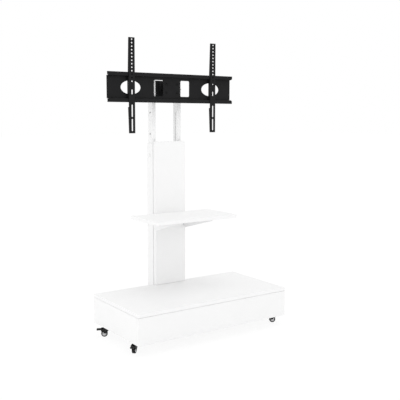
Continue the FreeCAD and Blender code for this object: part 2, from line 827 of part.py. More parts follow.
def mast_bracket():
    """A channel between the inner posts, open to the back."""
    half = post_x - inner_post_width / 2
    z_low, z_high = pivot_z - mast_bracket_height / 2, pivot_z + mast_bracket_height / 2
    walls = [box(-half, half, inner_front_y, inner_front_y + bracket_plate, z_low, z_high)]
    for side in (-1, 1):
        inner = side * (half - bracket_plate)
        walls.append(box(min(inner, side * half), max(inner, side * half), inner_front_y,
                         inner_front_y + mast_bracket_depth, z_low, z_high))
    return drilled(joined(walls), mast_bolt_holes() + pivot_bolt_holes())


def mast_bracket_bolts():
    pieces = []
    for side in (-1, 1):
        direction = RIGHT * side
        seat = mast_bolt_seat(side)
        pieces.append(headed_bolt(seat, direction, mast_bolt_length(), bolt_radius, bolt_head_radius, bolt_head_height))
        nut_seat = seat + direction * (bracket_plate + inner_post_width)
        pieces.append(nut(nut_seat, direction, bolt_radius + seat_clearance, bolt_head_radius, nut_height))
    return Part.makeCompound(pieces)


def pivot_bracket_bolts():
    pieces = []
    for place in pivot_bolt_places():
        pieces.append(headed_bolt(place, BACK, pivot_bolt_length(), bolt_radius, bolt_head_radius, bolt_head_height))
        seat = place + BACK * (2 * bracket_plate)
        pieces.append(nut(seat, BACK, bolt_radius + seat_clearance, bolt_head_radius, nut_height))
    return Part.makeCompound(pieces)


def pivot_ear(root_y, z_low):
    """A flat ear from a bracket's plate to the pin, round at its end, with the pin's hole."""
    y_low, y_high = min(root_y, pivot_y), max(root_y, pivot_y)
    tongue = box(-ear_radius, ear_radius, y_low, y_high, z_low, z_low + bracket_plate)
    end = rod(ear_radius, Vector(0, pivot_y, z_low), UP, bracket_plate)
    hole = rod(pin_radius + seat_clearance, Vector(0, pivot_y, z_low - overrun), UP, bracket_plate + 2 * overrun)
    return joined([tongue, end]).cut(hole)


def pivot_bracket():
    """The fixed half of the pivot, bolted to the mast bracket's face."""
    half = pivot_plate_width / 2
    plate = box(-half, half, inner_front_y - bracket_plate, inner_front_y,
                pivot_z - pivot_plate_height / 2, pivot_z + pivot_plate_height / 2)
    upper = pivot_ear(inner_front_y - bracket_plate, pivot_z + pivot_ear_height / 2 - bracket_plate)
    lower = pivot_ear(inner_front_y - bracket_plate, pivot_z - pivot_ear_height / 2)
    return drilled(joined([plate, upper, lower]), pivot_bolt_holes())


def head_ear_low_z():
    """Undersides of the swivel head's two ears, just outside the pivot bracket's ears."""
    reach = pivot_ear_height / 2 + running_clearance
    return (pivot_z - reach - bracket_plate, pivot_z + reach)


def rail_bolt_places():
    """Seat of each bolt's head on the front of the rail's web."""
    return [Vector(across * rail_bolt_spacing_x / 2, web_front_y, pivot_z + up * rail_bolt_spacing_z / 2)
            for across in (-1, 1) for up in (-1, 1)]


def rail_bolt_length():
    return rail_sheet + bracket_plate + rail_nut_height


def rail_bolt_holes():
    return [rod(rail_bolt_radius + seat_clearance, place, BACK, rail_bolt_length()) for place in rail_bolt_places()]


def rail_bolts():
    pieces = []
    for place in rail_bolt_places():
        pieces.append(pan_screw(place, BACK, rail_bolt_length(), rail_bolt_radius,
                                rail_bolt_head_radius, rail_bolt_head_height))
        seat = place + BACK * (rail_sheet + bracket_plate)
        pieces.append(nut(seat, BACK, rail_bolt_radius + seat_clearance, rail_nut_radius, rail_nut_height))
    return Part.makeCompound(pieces)


def swivel_head():
    """The turning half of the pivot, bolted to the back of the rail."""
    half = head_plate_width / 2
    plate = box(-half, half, web_back_y, head_back_y,
                pivot_z - head_plate_height / 2, pivot_z + head_plate_height / 2)
    ears = [pivot_ear(head_back_y, low) for low in head_ear_low_z()]
    return drilled(joined([plate] + ears), rail_bolt_holes())


def swivel_pin():
    """The headed pin of the pivot with its nut underneath."""
    lower, upper = head_ear_low_z()
    head_z = upper + bracket_plate + running_clearance
    nut_z = lower - running_clearance - nut_height
    shank_low = nut_z - running_clearance
    head = rod(pin_head_radius, Vector(0, pivot_y, head_z), UP, pin_head_height)
    shank = rod(pin_radius, Vector(0, pivot_y, shank_low), UP, head_z - shank_low)
    pin_nut = nut(Vector(0, pivot_y, nut_z), UP, pin_radius + seat_clearance, pin_head_radius, nut_height)
    return Part.makeCompound([joined([head, shank]), pin_nut])


# Mount rail and screen arms

def mount_rail():
    """A hat-shaped rail: recessed web, two shelves bent forward and a lip along each, longer than the web."""
    half = rail_length / 2
    web_half = rail_web_length / 2
    web_low, web_high = pivot_z - rail_web_height / 2, pivot_z + rail_web_height / 2
    low, high = pivot_z - rail_height / 2, pivot_z + rail_height / 2
    lip_back_y = lip_front_y + rail_sheet
    strips = [box(-web_half, web_half, web_front_y, web_back_y, web_low, web_high)]
    for bend_low, lip_low, lip_high in ((web_low, low, web_low + rail_sheet),
                                        (web_high - rail_sheet, web_high - rail_sheet, high)):
        strips.append(box(-web_half, web_half, lip_front_y, web_back_y, bend_low, bend_low + rail_sheet))
        strips.append(box(-web_half, web_half, lip_front_y, lip_back_y, lip_low, lip_high))
    inside = [Vector(0, web_front_y, web_low + rail_sheet), Vector(0, web_front_y, web_high - rail_sheet),
              Vector(0, lip_back_y, web_low), Vector(0, lip_back_y, web_high)]
    outside = [Vector(0, web_back_y, web_low), Vector(0, web_back_y, web_high),
               Vector(0, lip_front_y, web_low + rail_sheet), Vector(0, lip_front_y, web_high - rail_sheet)]
    rail = bend(joined(strips), rail_bend_radius, RIGHT, inside)
    rail = bend(rail, rail_bend_radius + rail_sheet, RIGHT, outside)
    lips = [box(-half, half, lip_front_y, lip_back_y, low, web_low - rail_bend_radius),
            box(-half, half, lip_front_y, lip_back_y, web_high + rail_bend_radius, high)]
    return drilled(joined([rail] + lips), rail_openings() + rail_bolt_holes())


def rail_openings():
    """Cutters for the two oval holes and the two windows."""
    cutters = []
    depth = rail_sheet + 2 * overrun
    start_y = web_front_y - overrun
    for side in (-1, 1):
        centre = Vector(side * oval_spacing / 2, start_y, pivot_z)
        oval = Part.Ellipse(centre + RIGHT * (oval_width / 2), centre + UP * (oval_height / 2), centre)
        cutters.append(Part.Face(Part.Wire([oval.toShape()])).extrude(BACK * depth))
        x = side * window_spacing / 2
        window = box(x - window_width / 2, x + window_width / 2, start_y, start_y + depth,
                     pivot_z - window_height / 2, pivot_z + window_height / 2)
        cutters.append(rounded(window, window_corner, BACK))
    return cutters


def arm_flange_outline(x):
    """Side outline of an arm that grows deeper from its ends to the rail, with the hook and the lifting notch."""
    top = pivot_z + arm_rise
    foot = top - arm_length
    lip_top, lip_foot = pivot_z + rail_height / 2, pivot_z - rail_height / 2
    web_top, web_foot = pivot_z + rail_web_height / 2, pivot_z - rail_web_height / 2
    lip_back_y = lip_front_y + rail_sheet
    neck_y = lip_front_y - hook_clearance
    hook_front_y = lip_back_y + hook_clearance
    hook_back_y = hook_front_y + hook_depth
    recess_y = arm_face_y + arm_recess_depth
    rail_y = arm_face_y + arm_rail_depth
    end_y = arm_face_y + arm_end_depth
    hook_roof = lip_top + hook_clearance
    hook_tip = lip_top - hook_reach
    recess_top = web_top - rail_sheet - hook_clearance
    recess_foot = web_foot + rail_sheet + hook_clearance
    profile = [(arm_face_y, top), (end_y, top), (hook_back_y, hook_roof + hook_depth),
               (hook_back_y, hook_tip), (hook_front_y, hook_tip),
               (hook_front_y, hook_roof), (neck_y, hook_roof), (neck_y, recess_top), (recess_y, recess_top),
               (recess_y, recess_foot), (neck_y, recess_foot), (neck_y, lip_foot - lift_notch),
               (rail_y, lip_foot - lift_notch), (end_y, foot), (arm_face_y, foot)]
    return [Vector(x, y, z) for y, z in profile]


def arm_openings(x):
    """Cutters for the row of round holes and the three slots in an arm's face."""
    top = pivot_z + arm_rise
    start_y = arm_face_y - overrun
    depth = arm_sheet + 2 * overrun
    holes = []
    for i in range(arm_hole_count):
        drop = (arm_hole_first_share + i * arm_hole_pitch_share) * arm_length
        holes.append(rod(arm_hole_radius, Vector(x, start_y, top - drop), BACK, depth))
    for start_share, length_share in zip(arm_slot_start_shares, arm_slot_length_shares):
        slot_top = top - start_share * arm_length
        slot = box(x - arm_slot_width / 2, x + arm_slot_width / 2, start_y, start_y + depth,
                   slot_top - length_share * arm_length, slot_top)
        holes.append(rounded(slot, slot_round_share * arm_slot_width / 2, BACK))
    return holes


def screen_arm(side):
    """A channel with its face to the screen and two flanges that hook over the rail."""
    x = side * arm_spacing / 2
    left = x - arm_width / 2
    top = pivot_z + arm_rise
    face = box(left, left + arm_width, arm_face_y, arm_face_y + arm_sheet, top - arm_length, top)
    flanges = [prism(arm_flange_outline(edge), RIGHT * arm_sheet) for edge in (left, left + arm_width - arm_sheet)]
    edges = [Vector(left, arm_face_y, 0), Vector(left + arm_width, arm_face_y, 0)]
    channel = bend(joined([face] + flanges), arm_bend_radius, UP, edges)
    return drilled(channel, arm_openings(x))


# Casters, drawn with the swivel axis at the origin and the wheel trailing along +X

plate_low_z = base_clearance - caster_plate_thickness
race_top_z = plate_low_z - running_clearance
crown_top_z = race_top_z - fork_race_height
crown_low_z = crown_top_z - fork_crown_thickness
leg_inner_y = tyre_width / 2 + fork_gap
leg_outer_y = leg_inner_y + fork_leg_thickness
pedal_pivot_z = crown_low_z + pedal_pivot_rise_share * fork_crown_thickness
wheel_centre = Vector(caster_trail, 0, wheel_radius)


def caster_places():
    """Name, swivel axis and heading of each caster; the headings point about to the corners."""
    return (("front_left", Vector(-caster_x, caster_front_y, 0), 223),
            ("front_right", Vector(caster_x, caster_front_y, 0), 330),
            ("back_left", Vector(-caster_x, caster_back_y, 0), 150),
            ("back_right", Vector(caster_x, caster_back_y, 0), 35))


def set_in_place(shape, place, heading):
    """A copy of a caster piece turned to its heading and moved to its swivel axis."""
    copy = shape.copy()
    copy.Placement = FreeCAD.Placement(place, FreeCAD.Rotation(UP, heading))
    return copy


def caster_screw_places():
    half = caster_screw_spacing / 2
    return [Vector(place.x + across * half, place.y + along * half, plate_low_z)
            for name, place, heading in caster_places() for across in (-1, 1) for along in (-1, 1)]


def caster_screw_holes():
    return [rod(small_screw_radius + seat_clearance, place, UP, caster_plate_thickness + caster_screw_bite)
            for place in caster_screw_places()]


def caster_plate():
    """A square plate with its swaged king pin."""
    half = caster_plate_size / 2
    plate = rounded(box(-half, half, -half, half, plate_low_z, base_clearance), caster_plate_corner, UP)
    head_z = crown_low_z - running_clearance
    pin = rod(king_pin_radius, Vector(0, 0, head_z), UP, plate_low_z - head_z)
    head = rod(king_pin_head_radius, Vector(0, 0, head_z - king_pin_head_height), UP, king_pin_head_height)
    return joined([plate, pin, head])


def caster_plates():
    plates = [set_in_place(caster_plate(), place, 0) for name, place, heading in caster_places()]
    return Part.makeCompound([drilled(plate, caster_screw_holes()) for plate in plates])


def caster_plate_screws():
    """Screws whose heads lie under the plates."""
    return Part.makeCompound([pan_screw(place, UP, caster_plate_thickness + caster_screw_bite, small_screw_radius,
                                        small_screw_head_radius, small_screw_head_height)
                              for place in caster_screw_places()])


def caster_fork():
    """A crown on the king pin with two legs that hold the axle and the pedal's hinge."""
    disc = rod(fork_crown_radius, Vector(0, 0, crown_low_z), UP, race_top_z - crown_low_z)
    crown = box(0, fork_crown_end, -leg_outer_y, leg_outer_y, crown_low_z, crown_top_z)
    cheek_z = crown_low_z - fork_cheek_height
    foot_x = caster_trail + fork_leg_foot_radius
    outline = [Vector(-fork_leg_foot_radius, 0, crown_low_z), Vector(0, 0, crown_top_z),
               Vector(fork_cheek_end, 0, crown_top_z), Vector(fork_cheek_end, 0, cheek_z),
               Vector(foot_x, 0, cheek_z), Vector(foot_x, 0, wheel_radius),
               Vector(caster_trail - fork_leg_foot_radius, 0, wheel_radius)]
    pieces = [disc, crown]
    for side in (-1, 1):
        start = side * leg_inner_y
        shift = BACK * start
        pieces.append(prism([point + shift for point in outline], BACK * (side * fork_leg_thickness)))
        pieces.append(rod(fork_leg_foot_radius, wheel_centre + shift, BACK * side, fork_leg_thickness))
    king_pin_hole = rod(king_pin_radius + seat_clearance, Vector(0, 0, crown_low_z - overrun), UP,
                        race_top_z - crown_low_z + 2 * overrun)
    width = 2 * leg_outer_y + 2 * overrun
    axle_hole = rod(axle_radius + seat_clearance, wheel_centre - BACK * (width / 2), BACK, width)
    pedal_hole = rod(pedal_pin_radius + seat_clearance,
                     Vector(pedal_pivot_reach, -width / 2, pedal_pivot_z), BACK, width)
    return drilled(joined(pieces), [king_pin_hole, axle_hole, pedal_hole])


def wheel_ring(outer_radius, inner_radius, width):
    """A ring on the wheel's axle."""
    start = wheel_centre - BACK * (width / 2)
    ring = rod(outer_radius, start, BACK, width)
    if inner_radius:
        bore_start = start - BACK * overrun
        ring = ring.cut(rod(inner_radius, bore_start, BACK, width + 2 * overrun))
    return ring


def caster_tyre():
    tyre = rod(wheel_radius, wheel_centre - BACK * (tyre_width / 2), BACK, tyre_width)
    tyre = tyre.makeFillet(tyre_shoulder, [edge for edge in tyre.Edges if edge.Curve.TypeId == "Part::GeomCircle"])
    bore_radius = wheel_radius - tyre_thickness
    bore = rod(bore_radius, wheel_centre - BACK * (tyre_width / 2 + overrun), BACK, tyre_width + 2 * overrun)
    return tyre.cut(bore)


def caster_core():
    """The wheel's centre: rim, web and hub with the axle stubs that run in the fork."""
    rim_radius = wheel_radius - tyre_thickness - seat_clearance
    rim = wheel_ring(rim_radius, rim_radius - core_rim_thickness, core_rim_width)
    web = wheel_ring(rim_radius, 0, core_web_width)
    hub = wheel_ring(core_hub_radius, 0, tyre_width)
    axle = wheel_ring(axle_radius, 0, 2 * (leg_outer_y + axle_tail))
    return joined([rim, web, hub, axle])


def caster_pedal():
    """A brake pedal with a hinge barrel, its stub pins and the shoe over the tyre."""
    half = leg_inner_y - pedal_side_play
    pivot = Vector(pedal_pivot_reach, -half, pedal_pivot_z)
    tip = pivot + RIGHT * pedal_reach - UP * pedal_fall
    lever = [pivot + UP * (pedal_thickness / 2), tip + UP * (pedal_thickness / 2),
             tip - UP * (pedal_thickness / 2), pivot - UP * (pedal_thickness / 2)]
    towards_wheel = Vector(wheel_centre.x - pivot.x, 0, wheel_centre.z - pivot.z).normalize()
    across = Vector(towards_wheel.z, 0, -towards_wheel.x) * (pedal_shoe_thickness / 2)
    reach = math.hypot(wheel_centre.x - pivot.x, wheel_centre.z - pivot.z)
    shoe_end = pivot + towards_wheel * (reach - wheel_radius - pedal_shoe_gap)
    shoe = [pivot + across, shoe_end + across, shoe_end - across, pivot - across]
    width = BACK * (2 * half)
    pin_reach = half + pedal_side_play + fork_leg_thickness
    pin = rod(pedal_pin_radius, Vector(pivot.x, -pin_reach, pivot.z), BACK, 2 * pin_reach)
    return joined([rod(pedal_barrel_radius, pivot, BACK, 2 * half), prism(lever, width), prism(shoe, width), pin])


# All pieces by name

def build_parts():
    """Every piece of the stand at rest, by the name of its file."""
    parts = {
        "base_top_panel": base_top_panel(),
        "base_left_side": base_side(-1),
        "base_right_side": base_side(1),
        "base_back_panel": base_back_panel(),
        "base_bottom_panel": base_bottom_panel(),
        "carcass_dowels": carcass_dowels(),
        "runner_outer_members": runner_outer_members(),
        "left_outer_post": outer_post(-1),
        "right_outer_post": outer_post(1),
        "post_guide_bushes": post_guide_bushes(),
        "post_foot_caps": post_foot_caps(),
        "post_base_bolts": post_base_bolts(),
        "height_lock_bolts": height_lock_bolts(),
        "column_cover_panel": column_cover_panel(),
        "cover_brackets": cover_brackets(),
        "cover_screws": cover_screws(),
        "shelf_board": shelf_board(),
        "left_shelf_bracket": shelf_bracket(-1),
        "right_shelf_bracket": shelf_bracket(1),
        "shelf_screws": shelf_screws(),
        "caster_plates": caster_plates(),
        "caster_plate_screws": caster_plate_screws(),
        "left_inner_post": inner_post(-1),
        "right_inner_post": inner_post(1),
        "post_slide_plugs": post_slide_plugs(),
        "post_top_caps": post_top_caps(),
        "mast_bracket": mast_bracket(),
        "mast_bracket_bolts": mast_bracket_bolts(),
        "pivot_bracket": pivot_bracket(),
        "pivot_bracket_bolts": pivot_bracket_bolts(),
        "swivel_pin": swivel_pin(),
        "swivel_head": swivel_head(),
        "mount_rail": mount_rail(),
        "rail_bolts": rail_bolts(),
        "left_screen_arm": screen_arm(-1),
        "right_screen_arm": screen_arm(1),
        "drawer_front": drawer_front(),
        "drawer_box_front": drawer_cross_wall(drawer_start_y),
        "drawer_left_side": drawer_side(-1),
        "drawer_right_side": drawer_side(1),
        "drawer_back": drawer_cross_wall(drawer_end_y - drawer_board),
        "drawer_bottom": drawer_bottom(),
        "drawer_screws": drawer_screws(),
        "runner_inner_members": runner_inner_members(),
    }
    caster_pieces = {"fork": caster_fork(), "wheel_core": caster_core(),
                     "tyre": caster_tyre(), "brake_pedal": caster_pedal()}
    for name, place, heading in caster_places():
        for piece_name, piece in caster_pieces.items():
            parts[name + "_" + piece_name] = set_in_place(piece, place, heading)
    return parts


def main():
    os.makedirs("parts", exist_ok=True)
    for name, shape in build_parts().items():
        shape.exportStep(os.path.join("parts", name + ".step"))


main()
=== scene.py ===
import json
import math

import bmesh
import bpy
from bpy.props import FloatProperty, FloatVectorProperty, IntProperty, PointerProperty
from bpy.types import Operator, Panel, PropertyGroup
from mathutils import Matrix, Vector

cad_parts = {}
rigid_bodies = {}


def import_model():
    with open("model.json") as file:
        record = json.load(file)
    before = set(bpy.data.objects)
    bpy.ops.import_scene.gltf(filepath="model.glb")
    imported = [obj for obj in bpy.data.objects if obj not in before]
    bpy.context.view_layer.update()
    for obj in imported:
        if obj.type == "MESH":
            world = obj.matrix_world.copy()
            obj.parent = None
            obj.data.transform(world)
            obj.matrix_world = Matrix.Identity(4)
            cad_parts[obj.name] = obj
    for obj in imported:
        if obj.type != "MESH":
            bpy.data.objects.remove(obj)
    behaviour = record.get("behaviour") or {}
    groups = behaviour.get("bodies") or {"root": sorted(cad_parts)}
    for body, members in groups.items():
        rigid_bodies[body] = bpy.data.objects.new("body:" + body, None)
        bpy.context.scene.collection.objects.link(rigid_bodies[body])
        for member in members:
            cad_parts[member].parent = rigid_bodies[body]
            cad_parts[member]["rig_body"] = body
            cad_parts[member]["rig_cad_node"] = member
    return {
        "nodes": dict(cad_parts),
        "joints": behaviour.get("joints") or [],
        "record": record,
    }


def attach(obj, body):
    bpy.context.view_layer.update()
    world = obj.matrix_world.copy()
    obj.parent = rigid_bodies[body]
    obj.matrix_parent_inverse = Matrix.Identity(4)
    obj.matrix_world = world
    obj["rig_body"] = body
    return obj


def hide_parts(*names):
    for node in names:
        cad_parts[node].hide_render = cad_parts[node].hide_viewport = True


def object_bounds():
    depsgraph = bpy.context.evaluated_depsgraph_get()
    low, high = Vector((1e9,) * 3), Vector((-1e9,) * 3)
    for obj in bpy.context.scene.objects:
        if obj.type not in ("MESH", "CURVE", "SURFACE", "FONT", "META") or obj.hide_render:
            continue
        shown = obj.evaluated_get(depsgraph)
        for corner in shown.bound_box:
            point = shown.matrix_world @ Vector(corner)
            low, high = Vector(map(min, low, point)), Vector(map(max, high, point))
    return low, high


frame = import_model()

bl_info = {
    "name": "Rolling screen stand",
    "version": (1, 0, 0),
    "blender": (4, 5, 0),
    "location": "View3D > Sidebar > Stand",
    "description": "Finishes, casters, fasteners and studio for a rolling screen stand with a drawer",
    "category": "Object",
}

CAD_BOX = [list(corner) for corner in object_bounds()]
NODES = frame["nodes"]
JOINTS = {joint["name"]: joint for joint in frame["joints"]}
NODE_SLOT = {part["node"]: part["material_slot"] for part in frame["record"]["subparts"]}
NODE_BODY = {node: body for body, nodes in frame["record"]["behaviour"]["bodies"].items() for node in nodes}
MM = 0.001
TO_METRES = Matrix.Scale(MM, 4)
TO_MILLIMETRES = Matrix.Scale(1 / MM, 4)
CORNERS = ("front_left", "front_right", "back_left", "back_right")

# Materials by slot, filled by the operator that finishes the frame
FINISHES = {}


# Settings that a user would change

class StandFinish(PropertyGroup):
    """Colours and grain of the stand's surfaces."""
    board_colour: FloatVectorProperty(
        name="Board white", description="Laminate of the cabinet, shelf and cover panel",
        subtype="COLOR", size=3, min=0, max=1, default=(0.86, 0.86, 0.86))
    board_grain: FloatProperty(
        name="Board grain", description="Size of the fine pearl in the laminate",
        unit="LENGTH", default=0.9 * MM, min=0.1 * MM)
    paint_colour: FloatVectorProperty(
        name="Paint white", description="Powder coat of the posts and shelf brackets",
        subtype="COLOR", size=3, min=0, max=1, default=(0.86, 0.86, 0.86))
    mount_colour: FloatVectorProperty(
        name="Mount black", description="Powder coat of the rail, arms and swivel",
        subtype="COLOR", size=3, min=0, max=1, default=(0.009, 0.009, 0.0095))
    paint_grain: FloatProperty(
        name="Paint grain", description="Size of the ripple in the powder coat",
        unit="LENGTH", default=0.7 * MM, min=0.1 * MM)


class StandCaster(PropertyGroup):
    """Sizes of the casters that the frame doesn't give."""
    tyre_width: FloatProperty(
        name="Tyre width", description="Across the tread",
        unit="LENGTH", default=14.5 * MM, min=1 * MM)
    tyre_depth: FloatProperty(
        name="Tyre depth", description="From the tread to the rim",
        unit="LENGTH", default=5.5 * MM, min=1 * MM)
    groove_depth: FloatProperty(
        name="Groove depth", description="Depth of the two grooves in the tread",
        unit="LENGTH", default=0.5 * MM, min=0)
    pocket_count: IntProperty(
        name="Wheel pockets", description="Pockets moulded in each side of the wheel's web",
        default=5, min=3, max=10)
    crown_foot: FloatProperty(
        name="Crown underside", description="Underside of the fork's crown above the floor",
        unit="LENGTH", default=33.0 * MM)
    crown_top: FloatProperty(
        name="Crown top", description="Top of the fork's crown above the floor",
        unit="LENGTH", default=40.0 * MM)
    race_top: FloatProperty(
        name="Race top", description="Top of the ball race above the floor",
        unit="LENGTH", default=47.8 * MM)
    race_radius: FloatProperty(
        name="Race radius", description="Radius of the ball race on the crown",
        unit="LENGTH", default=14.0 * MM)
    leg_gap: FloatProperty(
        name="Leg gap", description="Middle of the wheel to a leg's inner face",
        unit="LENGTH", default=8.25 * MM)
    leg_sheet: FloatProperty(
        name="Leg sheet", description="Thickness of the fork's legs",
        unit="LENGTH", default=2.5 * MM)
    pedal_reach: FloatProperty(
        name="Pedal reach", description="Hinge to the pedal's tip",
        unit="LENGTH", default=26.0 * MM)
    pedal_sheet: FloatProperty(
        name="Pedal thickness", description="Thickness of the pedal's lever",
        unit="LENGTH", default=7.0 * MM)


class StandTrim(PropertyGroup):
    """Softened edges and threads of the small parts."""
    edge_round: FloatProperty(
        name="Edge round", description="Softened edge of caps, collars and folded brackets",
        unit="LENGTH", default=0.5 * MM, min=0)
    thread_pitch: FloatProperty(
        name="Thread pitch", description="Distance between the threads of a bolt",
        unit="LENGTH", default=1.25 * MM, min=0.2 * MM)
    thread_depth: FloatProperty(
        name="Thread depth", description="Depth of a bolt's thread",
        unit="LENGTH", default=0.4 * MM, min=0)


class StandStudio(PropertyGroup):
    """Camera, floor and light of the studio."""
    camera_place: FloatVectorProperty(
        name="Camera place", description="Where the camera stands",
        subtype="XYZ", unit="LENGTH", size=3, default=(-1.7765, -2.62995, 1.0134))
    camera_heading: FloatProperty(
        name="Camera heading", description="Turn of the camera from the stand's front towards its left",
        subtype="ANGLE", default=math.radians(-35.07))
    camera_dip: FloatProperty(
        name="Camera dip", description="How far the camera looks down",
        subtype="ANGLE", default=math.radians(7.042))
    camera_roll: FloatProperty(
        name="Camera roll", description="Turn of the camera about its view",
        subtype="ANGLE", default=0.003)
    lens: FloatProperty(
        name="Lens", description="Focal length on a 36 mm sensor, in millimetres", default=60.81, min=1)
    floor_colour: FloatVectorProperty(
        name="Floor colour", description="Colour of the pale floor",
        subtype="COLOR", size=3, min=0, max=1, default=(0.96, 0.96, 0.96))
    sky_strength: FloatProperty(
        name="Sky strength", description="Even light from all round", default=0.98, min=0)
    side_power: FloatProperty(
        name="Side lamp", description="Power of the soft lamp on the left",
        unit="POWER", default=14.0, min=0)
    front_power: FloatProperty(
        name="Front lamp", description="Power of the low soft lamp in front",
        unit="POWER", default=8.0, min=0)
    top_power: FloatProperty(
        name="Top lamp", description="Power of the soft lamp overhead",
        unit="POWER", default=11.5, min=0)


# Materials

RAMP_ENDS = (0.3, 0.7)
COLOUR_DETAIL = 3
FINE_DETAIL = 2
RELIEF_STRENGTH = 0.6
ROUGH_PATCHES = 3


def new_material(name):
    """An empty node material with its node tree and shader."""
    material = bpy.data.materials.new(name)
    material.use_nodes = True
    tree = material.node_tree
    return material, tree, tree.nodes["Principled BSDF"]


def noise(tree, size, detail):
    """Noise on object coordinates whose cells are about the given size."""
    place = tree.nodes.new("ShaderNodeTexCoord")
    texture = tree.nodes.new("ShaderNodeTexNoise")
    texture.inputs["Scale"].default_value = 1 / size
    texture.inputs["Detail"].default_value = detail
    tree.links.new(place.outputs["Object"], texture.inputs["Vector"])
    return texture.outputs["Fac"]


def vary_colour(tree, shader, colour, drift, patch):
    """Base colour that drifts a little about the given colour, in patches of the given size."""
    ramp = tree.nodes.new("ShaderNodeValToRGB")
    low, high = ramp.color_ramp.elements
    low.position, high.position = RAMP_ENDS
    low.color = [channel * (1 - drift) for channel in colour] + [1]
    high.color = [min(1, channel * (1 + drift)) for channel in colour] + [1]
    tree.links.new(noise(tree, patch, COLOUR_DETAIL), ramp.inputs["Fac"])
    tree.links.new(ramp.outputs["Color"], shader.inputs["Base Color"])


def vary_roughness(tree, shader, low, high, patch):
    """Roughness that wanders between two values, in patches of the given size."""
    spread = tree.nodes.new("ShaderNodeMapRange")
    spread.inputs["To Min"].default_value = low
    spread.inputs["To Max"].default_value = high
    tree.links.new(noise(tree, patch, FINE_DETAIL), spread.inputs["Value"])
    tree.links.new(spread.outputs["Result"], shader.inputs["Roughness"])


def roughen(tree, shader, relief, grain):
    """Fine relief of the given height and grain."""
    bump = tree.nodes.new("ShaderNodeBump")
    bump.inputs["Strength"].default_value = RELIEF_STRENGTH
    bump.inputs["Distance"].default_value = relief
    tree.links.new(noise(tree, grain, FINE_DETAIL), bump.inputs["Height"])
    tree.links.new(bump.outputs["Normal"], shader.inputs["Normal"])


def surface(name, colour, drift, patch, roughness, grain, relief, specular=0.5, metallic=0.0):
    """A procedural surface: drifting colour, wandering roughness and fine relief."""
    material, tree, shader = new_material(name)
    shader.inputs["Specular IOR Level"].default_value = specular
    shader.inputs["Metallic"].default_value = metallic
    vary_colour(tree, shader, colour, drift, patch)
    vary_roughness(tree, shader, *roughness, patch / ROUGH_PATCHES)
    roughen(tree, shader, relief, grain)
    return material


def slot_materials(finish):
    """One material for each slot of the record."""
    return {
        "white_board": surface(
            "white_laminate", finish.board_colour, drift=0.006, patch=90 * MM, roughness=(0.42, 0.5),
            grain=finish.board_grain, relief=0.02 * MM, specular=0.35),
        "white_steel": surface(
            "white_powder_coat", finish.paint_colour, drift=0.006, patch=60 * MM, roughness=(0.38, 0.46),
            grain=finish.paint_grain, relief=0.03 * MM, specular=0.35),
        "white_plastic": surface(
            "white_moulded_plastic", finish.paint_colour, drift=0.008, patch=20 * MM, roughness=(0.32, 0.4),
            grain=1.5 * MM, relief=0.01 * MM),
        "black_steel": surface(
            "black_powder_coat", finish.mount_colour, drift=0.12, patch=40 * MM, roughness=(0.5, 0.62),
            grain=finish.paint_grain, relief=0.04 * MM, specular=0.14),
        "zinc_steel": surface(
            "zinc_plate", (0.62, 0.63, 0.64), drift=0.08, patch=6 * MM, roughness=(0.28, 0.42),
            grain=0.8 * MM, relief=0.01 * MM, metallic=1.0),
        "beech": surface(
            "beech_dowel", (0.55, 0.38, 0.22), drift=0.12, patch=4 * MM, roughness=(0.55, 0.7),
            grain=0.6 * MM, relief=0.05 * MM),
        "caster_metal": surface(
            "black_caster_enamel", (0.012, 0.012, 0.012), drift=0.15, patch=8 * MM, roughness=(0.4, 0.55),
            grain=0.8 * MM, relief=0.02 * MM, specular=0.2),
        "wheel_grey": surface(
            "grey_wheel_nylon", (0.85, 0.85, 0.86), drift=0.04, patch=6 * MM, roughness=(0.35, 0.5),
            grain=0.9 * MM, relief=0.02 * MM),
        "wheel_rubber": surface(
            "black_tyre_rubber", (0.015, 0.015, 0.016), drift=0.15, patch=5 * MM, roughness=(0.62, 0.8),
            grain=0.5 * MM, relief=0.05 * MM, specular=0.2),
        "pedal_plastic": surface(
            "black_pedal_plastic", (0.012, 0.012, 0.012), drift=0.15, patch=6 * MM, roughness=(0.4, 0.55),
            grain=0.6 * MM, relief=0.03 * MM, specular=0.2),
    }


def dress(piece, material):
    """Give a piece one material over all its faces."""
    piece.data.materials.clear()
    piece.data.materials.append(material)


# Modelling helpers: shapes are drawn in millimetres and brought to metres when they are set in place

MERGE = 0.001
MEND = 0.002
SOFT_SEGMENTS = 2
SMOOTH_ANGLE = math.radians(35)
WHEEL_SMOOTH_ANGLE = math.radians(40)
FOLD_ANGLE = math.radians(50)
FLAT_ANGLE = math.radians(0.5)


def only(piece):
    """Select one piece and nothing else."""
    bpy.ops.object.select_all(action="DESELECT")
    piece.select_set(True)
    bpy.context.view_layer.objects.active = piece


def begin(add, **where):
    """Add a primitive with nothing else selected, its place in its mesh."""
    bpy.ops.object.select_all(action="DESELECT")
    add(**where)
    bpy.ops.object.transform_apply(location=True, rotation=True, scale=True)
    return bpy.context.object


def edit(piece):
    """Open a piece in edit mode with everything selected."""
    only(piece)
    bpy.ops.object.mode_set(mode="EDIT")
    bpy.ops.mesh.select_all(action="SELECT")


def leave():
    """Go back from edit mode to object mode."""
    bpy.ops.object.mode_set(mode="OBJECT")


def pick_faces(piece, test):
    """In edit mode, select only the faces for which the test holds."""
    bpy.ops.mesh.select_mode(type="FACE")
    bpy.ops.mesh.select_all(action="DESELECT")
    mesh = bmesh.from_edit_mesh(piece.data)
    mesh.normal_update()
    for face in mesh.faces:
        face.select_set(test(face))
    mesh.select_flush_mode()
    bmesh.update_edit_mesh(piece.data)


